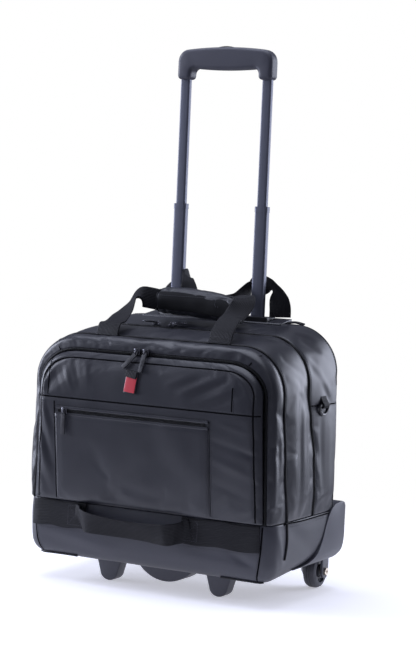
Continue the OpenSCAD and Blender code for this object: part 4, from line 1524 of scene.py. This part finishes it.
    def _loop(self) -> None:
        """The lifting loop: the band's free stretch, folded forward and sagging."""
        z, front = self.band_z, self.form.front
        a, b = self.loop_left, self.loop_right
        knots = [
            (a - 0.010, front - 0.0030, z), (a - 0.001, front - 0.0050, z),
            (a + 0.006, front - 0.0110, z - 0.001),
            (a + 0.013, front - 0.0195, z - 0.003), (a + 0.026, front - 0.0235, z - 0.005),
            (a + 0.052, front - 0.0230, z - 0.0065), (a + 0.085, front - 0.0210, z - 0.0080),
            (a + 0.118, front - 0.0205, z - 0.0085), (b - 0.040, front - 0.0222, z - 0.0085),
            (b - 0.022, front - 0.0238, z - 0.0080), (b - 0.011, front - 0.0190, z - 0.006),
            (b - 0.004, front - 0.0105, z - 0.004), (b + 0.003, front - 0.0048, z - 0.002),
            (b + 0.012, front - 0.0030, z),
        ]
        path = curve_through(knots, 7)
        normals = []
        last = len(path) - 1
        for k, point in enumerate(path):
            ahead = (path[min(k + 1, last)] - path[max(k - 1, 0)]).normalized()
            share = k / last
            lean = 0.42 * math.sin(math.pi * share) + 0.10 * math.sin(5 * math.pi * share)
            normals.append(Matrix.Rotation(lean, 3, ahead) @ ahead.cross(Vector((0.0, 0.0, 1.0))))
        loop = swept("lifting_loop", path, normals, strap_outline(self.band_wide - 0.003, 0.0032),
                     lambda u: 1.0 - 0.12 * math.sin(math.pi * u) ** 2 + 0.02 * math.sin(13 * u))
        dress(loop, "case", "webbing", "grab_loop")

    def _seams(self, skin: Skin) -> None:
        """The tub's top seam, its corner seams and the welts that run down and under it."""
        form = self.form
        for side, name in ((-1, "left"), (1, "right")):
            edge = curve_through([(side * 0.2215, -0.080, 0.1300), (side * 0.2215, -0.057, 0.1300),
                                  (side * 0.2215, -0.006, 0.1288), (side * 0.2215, 0.040, 0.1292),
                                  (side * 0.2215, 0.072, 0.1295), (side * 0.2215, 0.092, 0.1295)], 8)
            seam(f"tub_edge_{name}", "case", "tough_fabric", skin, edge, (0.0025, 0.0055), 0.0012)
            x = side * 0.203
            places = [(x - side * 0.010 * (k / 24) ** 3, 0.129 - 0.084 * k / 24) for k in range(25)]
            corner = skin.across(places)[0]
            seam(f"tub_corner_{name}", "case", "tough_fabric", skin, corner, (0.003 * side,), 0.0013)
            welt = curve_through([(side * 0.2215, -0.0700, 0.1315), (side * 0.2215, -0.0690, 0.104),
                                  (side * 0.2200, -0.0745, 0.078), (side * 0.2140, -0.0860, 0.058),
                                  (side * 0.2030, -0.0980, 0.046), (side * 0.1880, -0.1060, 0.0405),
                                  (side * 0.1650, -0.1080, 0.0385), (side * 0.1300, -0.1085, 0.0380)], 8)
            path, normals = skin.lay(welt, 0.004, 0.0008)
            dress(swept(f"tub_welt_{name}", path, normals, round_outline(0.0020, 10)), "case", "piping_cord")
        low = self.band_z - self.band_wide / 2 - 0.004
        seam("tub_front", "case", "tough_fabric", skin,
             skin.across([(-0.200 + 0.400 * k / 90, low) for k in range(91)])[0],
             (0.0,), 0.0)


@dataclass
class RollingGear:
    """Wheel housings, wheels, front feet and the grip under the base."""

    foot_wide: float = 0.047
    toe_r: float = 0.0155

    def build(self) -> None:
        """Makes the hard parts of the base."""
        for side in ("left", "right"):
            dress(moulded(f"housing_{side}", f"wheel_housing_{side}", 1.6 * MM, 3), "case", "hard_plastic",
                  f"wheel_housing_{side}")
            dress(moulded(f"hub_{side}", f"wheel_hub_{side}", 0.6 * MM, 2), f"wheel_{side}", "hub_plastic",
                  f"wheel_hub_{side}")
            self._tyre(side)
        self._feet()
        dress(moulded("base_grip", "bottom_grip", 1.5 * MM, 3), "case", "hard_plastic", "bottom_grip")

    def _feet(self) -> None:
        """Tapered front feet with round toes."""
        low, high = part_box("front_feet")
        feet = []
        for sign in (-1, 1):
            middle = sign * (high.x - self.foot_wide / 2)
            outline = [(self.foot_wide / 2, high.z), (self.foot_wide / 2 - 0.001, low.z + 0.034)]
            outline += [(1.06 * a, low.z + self.toe_r - b) for a, b in
                        (polar(self.toe_r, turn) for turn in range(6, 91, 14))]
            outline += [(-x, z) for x, z in reversed(outline[:-1])]
            placed = [(middle + x, z) for x, z in outline]
            feet.append(extruded(f"foot_{sign}", placed, low.y, high.y, 2.4 * MM))
        dress(joined("feet", feet), "case", "hard_plastic", "front_feet")

    def _tyre(self, side: str) -> None:
        """A tyre with a crowned tread, two grooves and rounded shoulders, turned on its axle."""
        low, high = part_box(f"tyre_{side}")
        centre = (low + high) / 2
        radius, half = (high.z - low.z) / 2, (high.x - low.x) / 2
        inner = 0.0190
        profile = [
            (inner, -half), (radius - 0.006, -half), (radius - 0.0022, -half + 0.0020),
            (radius - 0.0004, -half + 0.0055), (radius, -half + 0.0078), (radius - 0.0009, -half + 0.0084),
            (radius - 0.0009, -half + 0.0092), (radius, -half + 0.0098), (radius, half - 0.0098),
            (radius - 0.0009, half - 0.0092), (radius - 0.0009, half - 0.0084), (radius, half - 0.0078),
            (radius - 0.0004, half - 0.0055), (radius - 0.0022, half - 0.0020), (radius - 0.006, half),
            (inner, half),
        ]
        steps, count = 72, len(profile)
        points = [centre + Vector((x, *polar(r, 360.0 * k / steps)))
                  for k in range(steps) for r, x in profile]
        faces = [
            (k * count + i, k * count + (i + 1) % count, (k + 1) % steps * count + (i + 1) % count,
             (k + 1) % steps * count + i)
            for k in range(steps) for i in range(count)
        ]
        piece = mesh_piece(f"tyre_rubber_{side}", points, faces, closed=True)
        smooth(piece, 32.0)
        dress(piece, f"wheel_{side}", "tyre", f"tyre_{side}")


@dataclass
class Trolley:
    """The telescopic handle: its fixed, lower and upper tubes, collars, bezel, grip and button."""

    wall: float = 0.0013
    lower_wide: float = 0.0216
    collar_lap: float = 0.0006
    grip_trim: float = 0.0045

    def build(self) -> None:
        """Makes the trolley's pieces."""
        for side in ("left", "right"):
            low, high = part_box(f"outer_tube_{side}")
            fixed = self._tube(f"fixed_tube_{side}", (low + high) / 2, high - low, 0.0030)
            dress(fixed, "case", "tube_metal", f"outer_tube_{side}")
        self._pair("lower_tubes", "stage_1", self.lower_wide, 0.0034)
        self._pair("upper_tubes", "stage_2", 0.0164, 0.0026)
        self._collars()
        dress(moulded("bezel", "trolley_bezel", 0.5 * MM, 2, 50.0), "case", "black_plastic", "trolley_bezel")
        self._grip()
        dress(moulded("button_cap", "push_button", 0.8 * MM, 2), "push_button", "black_plastic",
              "push_button")

    def _grip(self) -> None:
        """The crowned grip with round shoulders and two sockets for the tubes."""
        low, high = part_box("grip_shell")
        half, top, r = high.x - self.grip_trim, high.z - 0.0035, 0.020
        inner, sweep = half - 0.0245, range(0, 91, 15)
        right = [(half, low.z)] + [(half - r + a, top - r + b) for a, b in (polar(r, turn) for turn in sweep)]
        crown = [((half - r) * k / 6, top + 0.0035 * (1 - (k / 6) ** 2)) for k in range(5, -6, -1)]
        under = [(x, low.z + 0.0185 - 0.0030 * (1 - (x / inner) ** 2))
                 for x in (-inner + 0.010 + 2 * (inner - 0.010) * k / 12 for k in range(13))]
        neck = [(inner - 0.010 + a, low.z + 0.0085 + b)
                for a, b in (polar(0.010, turn) for turn in range(72, -1, -18))]
        left = [(-x, z) for x, z in reversed(right)]
        outline = [*right, *crown, *left, (-inner, low.z), *[(-x, z) for x, z in reversed(neck)], *under,
                   *neck,
                   (inner, low.z)]
        grip = extruded("grip", outline, low.y, high.y, 6.5 * MM)
        dress(grip, "stage_2", "grip_plastic", "grip_shell")

    def _collars(self) -> None:
        """Slim lips on top of the lower tubes."""
        low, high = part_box("tube_collars")
        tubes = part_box("lower_tubes")
        size = Vector((self.lower_wide, tubes[1].y - tubes[0].y, high.z - low.z))
        size += Vector((2 * self.collar_lap, 2 * self.collar_lap, 0.0))
        sleeves = []
        for sign in (-1, 1):
            centre = Vector((sign * (tubes[1].x - self.lower_wide / 2), (low.y + high.y) / 2,
                             (low.z + high.z) / 2))
            sleeves.append(self._tube(f"collar_{sign}", centre, size, 0.0040))
        dress(joined("collars", sleeves), "stage_1", "black_plastic", "tube_collars", finish="tube_metal")

    def _pair(self, node: str, body: str, wide: float, round_r: float) -> None:
        """Makes both tubes of a moving stage."""
        low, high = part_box(node)
        tubes = []
        for sign in (-1, 1):
            centre = (low + high) / 2
            centre.x = sign * (high.x - wide / 2)
            size = Vector((wide, high.y - low.y, high.z - low.z))
            tubes.append(self._tube(f"{node}_{sign}", centre, size, round_r))
        dress(joined(f"{node}_drawn", tubes), body, "tube_metal", node)

    def _tube(self, name: str, centre: Vector, size: Vector, round_r: float) -> Piece:
        """Draws one upright tube with round corners and open ends."""
        bpy.ops.object.select_all(action="DESELECT")
        bpy.ops.mesh.primitive_cube_add(size=1.0, location=centre)
        piece = bpy.context.object
        piece.name = name
        piece.scale = size
        bpy.ops.object.transform_apply(location=True, rotation=True, scale=True)
        pick(piece, "FACE", [abs(face.normal.z) > 0.9 for face in piece.data.polygons])
        bpy.ops.mesh.delete(type="ONLY_FACE")
        bpy.ops.object.mode_set(mode="OBJECT")
        spots = [v.co for v in piece.data.vertices]
        pick(piece, "EDGE",
             [abs(spots[e.vertices[0]].z - spots[e.vertices[1]].z) > size.z / 2 for e in piece.data.edges])
        bpy.ops.mesh.bevel(offset=round_r, segments=5, affect="EDGES")
        bpy.ops.object.mode_set(mode="OBJECT")
        apply(piece, "SOLIDIFY", thickness=self.wall, offset=-1.0)
        smooth(piece, 35.0)
        return piece


@dataclass
class CarryHandle:
    """The wrapped carry handle: front and rear webbing straps, the padded wrap and its flap."""

    form: CaseForm
    web: float = 0.040
    thick: float = 0.0024
    tilt: float = 0.005

    def build(self) -> None:
        """Makes the handle's pieces."""
        self._front_straps()
        self._rear_straps()
        self._wrap()
        self._flap()

    def _front_straps(self) -> None:
        """One webbing from the left base through the wrap to the right base, with sewn feet."""
        top = self.form.top_at
        foot = top(-0.089) + 0.0015
        left = [
            ((-0.100, -0.0905, foot), (0.0, -0.95, 0.3)),
            ((-0.100, -0.0875, foot + 0.009), (0.0, -0.95, 0.35)),
            ((-0.100, -0.0840, foot + 0.0165), (0.0, -0.85, 0.55)),
            ((-0.100, -0.0790, foot + 0.0195), (0.0, -0.25, 0.97)),
            ((-0.101, -0.0640, foot + 0.0215), (-0.05, -0.15, 0.98)),
            ((-0.103, -0.0420, 0.4290), (-0.15, -0.35, 0.92)),
            ((-0.106, -0.0220, 0.4400), (-0.45, -0.55, 0.75)),
            ((-0.105, -0.0080, 0.4500), (-0.65, -0.55, 0.6)),
            ((-0.098, 0.0035, 0.4555), (-0.35, -0.9, 0.3)),
            ((-0.086, 0.0110, 0.4545), (-0.1, -0.98, 0.15)),
            ((-0.071, 0.0160, 0.4520), (0.0, -1.0, 0.0)),
            ((-0.055, 0.0178, 0.4500), (0.0, -1.0, 0.0)),
        ]
        right = [
            ((0.055, 0.0178, 0.4480), (0.0, -1.0, 0.0)),
            ((0.071, 0.0135, 0.4490), (0.2, -0.95, 0.2)),
            ((0.086, 0.0030, 0.4560), (0.1, -0.75, 0.65)),
            ((0.098, -0.0100, 0.4640), (-0.1, -0.35, 0.93)),
            ((0.105, -0.0210, 0.4640), (0.15, -0.2, 0.97)),
            ((0.108, -0.0310, 0.4560), (0.45, -0.75, 0.5)),
            ((0.105, -0.0430, 0.4440), (0.2, -0.85, 0.5)),
            ((0.101, -0.0520, 0.4360), (0.0, -0.6, 0.8)),
            ((0.100, -0.0600, 0.4310), (0.0, -0.75, 0.65)),
            ((0.100, -0.0760, 0.4170), (0.0, -0.75, 0.65)),
            ((0.100, -0.0850, foot + 0.0055), (0.0, -0.8, 0.6)),
            ((0.100, -0.0905, foot), (0.0, -0.8, 0.6)),
        ]
        knots = [*left, ((0.0, 0.0178, 0.4500), (0.0, -1.0, 0.0)), *right]
        strap = swept("front_carry_strap", *twisting(knots), strap_outline(self.web, self.thick),
                      lambda u: 1.0 - 0.14 * math.exp(-(((u - 0.5) / 0.34) ** 6)))
        dress(strap, "front_half", "webbing", "front_straps")
        sewn = []
        for side in (-1, 1):
            spots = []
            for dx, dy in ((-1, 0), (1, 0), (1, 1), (-1, 1), (-1, 0)):
                at = Vector((side * 0.100, -0.0900, foot + 0.003))
                spots.append(at + Vector((0.016 * dx, 0.0024 * dy, 0.008 * dy)))
            run = even(spots, 0.002)
            sewn.append(blocks(f"strap_box_{side}", run, fixed_normals((0.0, -0.95, 0.3), len(run)),
                               (2.6 * MM, 0.6 * MM, 0.5 * MM), 3.8 * MM))
        dress(joined("strap_box_stitching", sewn), "front_half", "webbing", finish="thread")

    def _rear_straps(self) -> None:
        """The rear webbing: before the left tube, behind the right one, through the wrap's open back."""
        knots = [
            ((-0.106, 0.1040, 0.4318), (0.1, 1.0, 0.0)), ((-0.104, 0.1065, 0.4440), (0.0, 1.0, 0.1)),
            ((-0.094, 0.1070, 0.4600), (0.1, 1.0, 0.2)), ((-0.076, 0.1065, 0.4720), (0.3, 0.9, 0.3)),
            ((-0.058, 0.0960, 0.4820), (0.8, 0.4, 0.4)), ((-0.052, 0.0800, 0.4880), (0.9, -0.2, 0.4)),
            ((-0.047, 0.0660, 0.4900), (0.7, -0.6, 0.5)), ((-0.040, 0.0560, 0.4830), (0.5, -0.8, 0.3)),
            ((-0.034, 0.0490, 0.4680), (0.3, -0.9, 0.2)), ((-0.028, 0.0420, 0.4560), (0.1, -1.0, 0.1)),
            ((-0.016, 0.0370, 0.4490), (0.0, -1.0, 0.0)), ((0.018, 0.0370, 0.4490), (0.0, -1.0, 0.0)),
            ((0.036, 0.0420, 0.4510), (0.2, -1.0, 0.0)), ((0.049, 0.0550, 0.4570), (0.8, -0.6, 0.1)),
            ((0.051, 0.0760, 0.4680), (0.95, 0.1, 0.2)), ((0.056, 0.0960, 0.4760), (0.7, 0.7, 0.2)),
            ((0.070, 0.1060, 0.4820), (0.1, 0.95, 0.2)), ((0.086, 0.1070, 0.4830), (0.0, 0.95, 0.3)),
            ((0.096, 0.1070, 0.4760), (-0.1, 0.95, 0.2)), ((0.101, 0.1060, 0.4620), (-0.15, 0.97, 0.1)),
            ((0.105, 0.1050, 0.4470), (-0.2, 0.97, 0.1)), ((0.106, 0.1040, 0.4318), (-0.2, 1.0, 0.0)),
        ]
        strap = swept("rear_carry_strap", *twisting(knots), strap_outline(0.036, self.thick),
                      lambda u: 1.0 - sum(d * math.exp(-(((u - at) / w) ** 2)) for at, w, d in
                                          ((0.31, 0.06, 0.45), (0.5, 0.10, 0.35), (0.66, 0.06, 0.40),
                                           (0.84, 0.05, 0.60))))
        dress(strap, "case", "webbing", "rear_straps")
        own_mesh(strap)

    def _wrap(self) -> None:
        """The padded sleeve around the straps, open at the back."""
        low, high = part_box("handle_wrap")
        r = 0.0135
        y0, y1, z0, z1 = low.y, high.y, low.z, high.z
        section = [Vector((y1, z0 + 0.0095, 0.0))]
        for cy, cz, start in ((y1 - r, z0 + r, 0), (y0 + r, z0 + r, -90), (y0 + r, z1 - r, -180),
                              (y1 - r, z1 - r, -270)):
            section += [Vector((cy, cz, 0.0)) + Vector((*polar(r, start - 11.25 * k), 0.0)) for k in range(9)]
        section.append(Vector((y1, z1 - 0.0095, 0.0)))
        section = even(section, 0.0026)
        middle = Vector(((y0 + y1) / 2, (z0 + z1) / 2, 0.0))

        def place(s: float, t: float) -> Vector:
            spot = section[min(len(section) - 1, round(t * (len(section) - 1)))]
            end = min(s, 1.0 - s)
            draw = 1.0 - 0.14 * math.exp(-((end / 0.025) ** 2))
            spot = middle + (spot - middle) * draw
            sag = 0.0035 * (2 * s - 1) ** 2 + self.tilt * (2 * s - 1)
            return Vector((low.x + (high.x - low.x) * s, spot.x, spot.y - sag))

        sheet = Sheet("wrap_cloth_sleeve", place, 60, len(section) - 1)
        centre = Vector((0.0, middle.x, middle.y))
        turned = sum(f.normal.dot(f.center - Vector((f.center.x, centre.y, centre.z))) for f in
                     sheet.piece.data.polygons)
        if turned < 0:
            sheet.piece.data.flip_normals()
        sheet.press(lambda s, t, p: 0.0012 * rim(s, 0.1) * rim(t, 0.1)
                    + 0.0009 * ripple(p, 45.0, 9.0) * rim(s, 0.1)
                    - 0.0012 * math.exp(-(((p.x + 0.055) / 0.004) ** 2))
                    - 0.001 * math.exp(-(((t - 0.62) / 0.02) ** 2)))
        sheet.simulate(edge_pins, pressure=2.5, growth=0.015, cap=0.003)
        piece = sheet.thicken(0.0038)
        dress(piece, "front_half", "wrap_cloth", "handle_wrap")
        binding = [Vector((low.x + 0.0012, v.x, v.y - 0.0035)) for v in
                   (middle + (p - middle) * 0.87 for p in section)]
        for name, x, drop in (("left", low.x + 0.0008, -self.tilt), ("right", high.x - 0.0008, self.tilt)):
            course = [Vector((x, p.y, p.z - drop)) for p in binding]
            out = [Vector((0.0, p.y - middle.x, p.z - middle.y)).normalized() for p in course]
            dress(swept(f"wrap_binding_{name}", course, out, round_outline(0.0016, 8)), "front_half",
                  "wrap_cloth",
                  finish="piping_cord")

    def _flap(self) -> None:
        """The black flap that closes the wrap, with one long round end."""
        low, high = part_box("wrap_flap")
        half = (high.z - low.z) / 2

        def place(s: float, t: float) -> Vector:
            x = low.x + (high.x - low.x) * s
            over = max(0.0, (x - (high.x - 1.5 * half)) / (1.5 * half))
            tall = half * math.sqrt(max(0.0004, 1.0 - over ** 2.4))
            z = (low.z + high.z) / 2 + tall * (2 * t - 1)
            lean = ((z - low.z) / (2 * half) - 0.5)
            y = (low.y + high.y) / 2 + 0.0068 * (2 * lean) ** 2 * (1.0 if lean > 0 else 0.25)
            return Vector((x, y - 0.0016, z - 0.0035 * (2 * s - 1) ** 2 - self.tilt * (2 * s - 1)))

        sheet = Sheet("closing_flap", place, 56, 16)
        turned = sum(f.normal.y for f in sheet.piece.data.polygons)
        if turned > 0:
            sheet.piece.data.flip_normals()
        sheet.press(lambda s, t, p: 0.0008 * rim(s, 0.05) * rim(t, 0.2) + 0.0006 * ripple(p, 40.0, 12.0))
        piece = sheet.thicken(0.0026)
        dress(piece, "wrap_flap", "flap_cloth", "wrap_flap")
        skin = Skin(piece)
        long = high.x - low.x - 0.022
        border = skin.across([(low.x + 0.004 + long * k / 40, high.z - 0.0048) for k in range(41)])[0]
        seam("flap_top", "wrap_flap", "flap_cloth", skin, border, (0.0,), 0.0)


@dataclass
class ZipPulls:
    """Sliders and pulls of all the zips, and the shoulder strap rings with their tabs."""

    def build(self) -> None:
        """Makes the small metal and rubber parts."""
        for name in ("main_slider_left", "main_slider_right", "front_slider_left", "front_slider_right",
                     "pocket_slider"):
            dress(moulded(f"{name}_body", name, 0.8 * MM, 2), name, "slider_metal", name)
        for name in ("main_pull_left", "main_pull_right"):
            dress(moulded(f"{name}_tab", name, 0.7 * MM, 2), name, "slider_metal", name)
        for name in ("front_pull_left", "front_pull_right", "pocket_pull"):
            self._rubber_pull(name)
        for side in ("left", "right"):
            dress(moulded(f"ring_{side}", f"d_ring_{side}", 0.5 * MM, 2), f"d_ring_{side}", "ring_metal",
                  f"d_ring_{side}")
        self._ring_tabs()

    def _rubber_pull(self, name: str) -> None:
        """A moulded rubber pull with ribs across its lower half."""
        pull = moulded(f"{name}_tab", name, 0.8 * MM, 3)
        dress(pull, name, "pull_rubber", name)
        points = sorted((v.co.copy() for v in pull.data.vertices), key=lambda v: v.z)
        few = max(4, len(points) // 12)
        foot = sum(points[:few], Vector()) / few
        head = sum(points[-few:], Vector()) / few
        skin = Skin(pull)
        course = [foot.lerp(head, 0.10 + 0.40 * k / 8) for k in range(9)]
        path, normals = skin.across([(p.x, p.z) for p in course], 0.0002)
        ribs = blocks(f"{name}_ribs", path, normals, (0.9 * MM, 4.4 * MM, 0.7 * MM), 2.1 * MM)
        dress(ribs, name, "pull_rubber")

    def _ring_tabs(self) -> None:
        """Short webbing loops that hold the rings, with a row of stitches."""
        low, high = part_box("ring_tabs")
        tabs, sewn = [], []
        for sign in (-1, 1):
            bar_x, bar_z = sign * (high.x - 0.0046), low.z + 0.0046
            y = (low.y + high.y) / 2
            wall = bar_x - sign * 0.0050
            top = high.z - 0.008
            knots = [(wall, y, top), (wall, y, bar_z + 0.010)]
            knots += [(bar_x + sign * a, y, bar_z + b) for a, b in
                      (polar(0.0042, turn) for turn in (180, 225, 270, 315, 360, 45))]
            knots += [(wall + sign * 0.0038, y, bar_z + 0.0095), (wall + sign * 0.0026, y, top)]
            path = curve_through(knots, 4)
            normals = []
            for k in range(len(path)):
                ahead = (path[min(k + 1, len(path) - 1)] - path[max(k - 1, 0)]).normalized()
                normals.append(Vector((0.0, 1.0, 0.0)).cross(ahead))
            tabs.append(swept(f"ring_tab_{sign}", path, normals, strap_outline(high.y - low.y, 0.0020)))
            row = [Vector((wall + sign * 0.0040, y - 0.008 + 0.016 * k / 8, bar_z + 0.0105))
                   for k in range(9)]
            sewn.append(blocks(f"ring_row_{sign}", row, fixed_normals((sign, 0.0, 0.0), len(row)),
                               (2.4 * MM, 0.6 * MM, 0.5 * MM), 3.6 * MM))
        dress(joined("ring_loops", tabs), "case", "webbing", "ring_tabs")
        dress(joined("ring_loop_stitching", sewn), "case", "webbing", finish="thread")


# ---------------------------------------------------------------- studio


@dataclass
class Studio:
    """Floor, lights, world and camera."""

    eye: tuple[float, float, float] = (1.4826, -2.6532, 0.6039)
    ahead: tuple[float, float, float] = (-0.4791, 0.8757, -0.0608)
    up: tuple[float, float, float] = (-0.0668, 0.0327, 0.9972)
    lens: float = 106.06
    tone: tuple[float, float, float] = (0.80, 0.84, 1.0)
    floor_near: float = 0.30
    floor_far: float = 1.10

    def build(self) -> None:
        """Sets the scene around the case."""
        self._floor()
        self._world()
        self._light("overhead", (-0.2, -0.1, 2.3), (0.0, 0.0, 0.3), (2.4, 1.9), 44.0)
        self._light("left_box", (-2.6, -0.8, 0.9), (0.0, 0.0, 0.25), (1.7, 2.0), 112.0)
        self._light("rear_box", (1.5, 2.3, 0.9), (0.1, 0.0, 0.25), (2.2, 1.8), 58.0)
        self._light("front_fill", (1.2, -3.2, 1.8), (0.0, 0.0, 0.3), (1.2, 1.2), 5.0)
        self._camera()

    def _floor(self) -> None:
        """A plain pale floor that fades into the white surroundings."""
        bpy.ops.object.select_all(action="DESELECT")
        bpy.ops.mesh.primitive_plane_add(size=60.0, location=(0.0, 0.0, -0.0002))
        floor = bpy.context.object
        floor.name = "studio_floor"
        material = bpy.data.materials.new("studio_floor")
        material.use_nodes = True
        tree = material.node_tree
        shader = tree.nodes["Principled BSDF"]
        for name, value in (("Base Color", (0.86, 0.86, 0.90, 1.0)), ("Roughness", 0.55),
                            ("Specular IOR Level", 0.2),
                            ("Emission Color", (0.93, 0.93, 1.0, 1.0)), ("Emission Strength", 0.42)):
            shader.inputs[name].default_value = value
        away = add_node(tree, "VectorMath", {0: add_node(tree, "TexCoord", {}).outputs["Object"]})
        away.operation = "LENGTH"
        fade = add_node(tree, "MapRange", {"Value": away.outputs["Value"], "From Min": self.floor_near,
                                           "From Max": self.floor_far})
        fade.interpolation_type = "SMOOTHSTEP"
        clear = add_node(tree, "BsdfTransparent", {})
        mix = add_node(tree, "MixShader", {0: fade.outputs[0], 1: shader.outputs[0], 2: clear.outputs[0]})
        tree.links.new(mix.outputs[0], tree.nodes["Material Output"].inputs["Surface"])
        floor.data.materials.append(material)

    def _world(self) -> None:
        """White surroundings, which light the case more weakly than the camera sees them."""
        world = bpy.data.worlds.new("studio")
        bpy.context.scene.world = world
        world.use_nodes = True
        tree = world.node_tree
        dim = tree.nodes["Background"]
        dim.inputs["Color"].default_value = (*self.tone, 1.0)
        dim.inputs["Strength"].default_value = 0.20
        seen = add_node(tree, "Background", {"Color": (1.0, 1.0, 1.0, 1.0), "Strength": 1.0})
        path = add_node(tree, "LightPath", {})
        mix = add_node(tree, "MixShader",
                       {0: path.outputs["Is Camera Ray"], 1: dim.outputs[0], 2: seen.outputs[0]})
        tree.links.new(mix.outputs[0], tree.nodes["World Output"].inputs["Surface"])
        bpy.context.scene.view_settings.view_transform = "Standard"

    def _light(self, name: str, place: tuple[float, float, float], aim: tuple[float, float, float],
               size: tuple[float, float], power: float) -> None:
        """Adds a soft rectangular light that points at a place."""
        data = bpy.data.lights.new(name, "AREA")
        data.shape = "RECTANGLE"
        data.size, data.size_y = size
        data.energy = power
        data.color = self.tone
        lamp = bpy.data.objects.new(name, data)
        lamp.location = place
        lamp.rotation_euler = (Vector(aim) - Vector(place)).to_track_quat("-Z", "Y").to_euler()
        bpy.context.scene.collection.objects.link(lamp)

    def _camera(self) -> None:
        """Sets the camera at the viewing angle, with no depth of field."""
        data = bpy.data.cameras.new("camera")
        data.lens = self.lens
        camera = bpy.data.objects.new("camera", data)
        ahead, up = Vector(self.ahead).normalized(), Vector(self.up)
        side = ahead.cross(up).normalized()
        up = side.cross(ahead)
        turn = Matrix((side, up, -ahead)).transposed().to_4x4()
        camera.matrix_world = Matrix.Translation(self.eye) @ turn
        bpy.context.scene.collection.objects.link(camera)
        bpy.context.scene.camera = camera


def finish_carried_nodes() -> None:
    """Gives every CAD node that stays its own finish."""
    for part in frame["record"]["subparts"]:
        node = frame["nodes"][part["node"]]
        node.data.materials.clear()
        node.data.materials.append(MATERIALS[part["material_slot"]])


def main() -> None:
    """Builds the case's looks around the frame."""
    logging.basicConfig(level=logging.INFO, format="%(message)s")
    effects = Effects()
    for finish in FINISHES:
        MATERIALS[finish.slot] = finish.build(effects)
    finish_carried_nodes()
    form = CaseForm()
    RearShell(form).build()
    FrontShell(form).build()
    PocketPanel(form).build()
    BaseTub(form).build()
    RollingGear().build()
    Trolley().build()
    CarryHandle(form).build()
    ZipPulls().build()
    Studio().build()


if __name__ == "__main__":
    main()
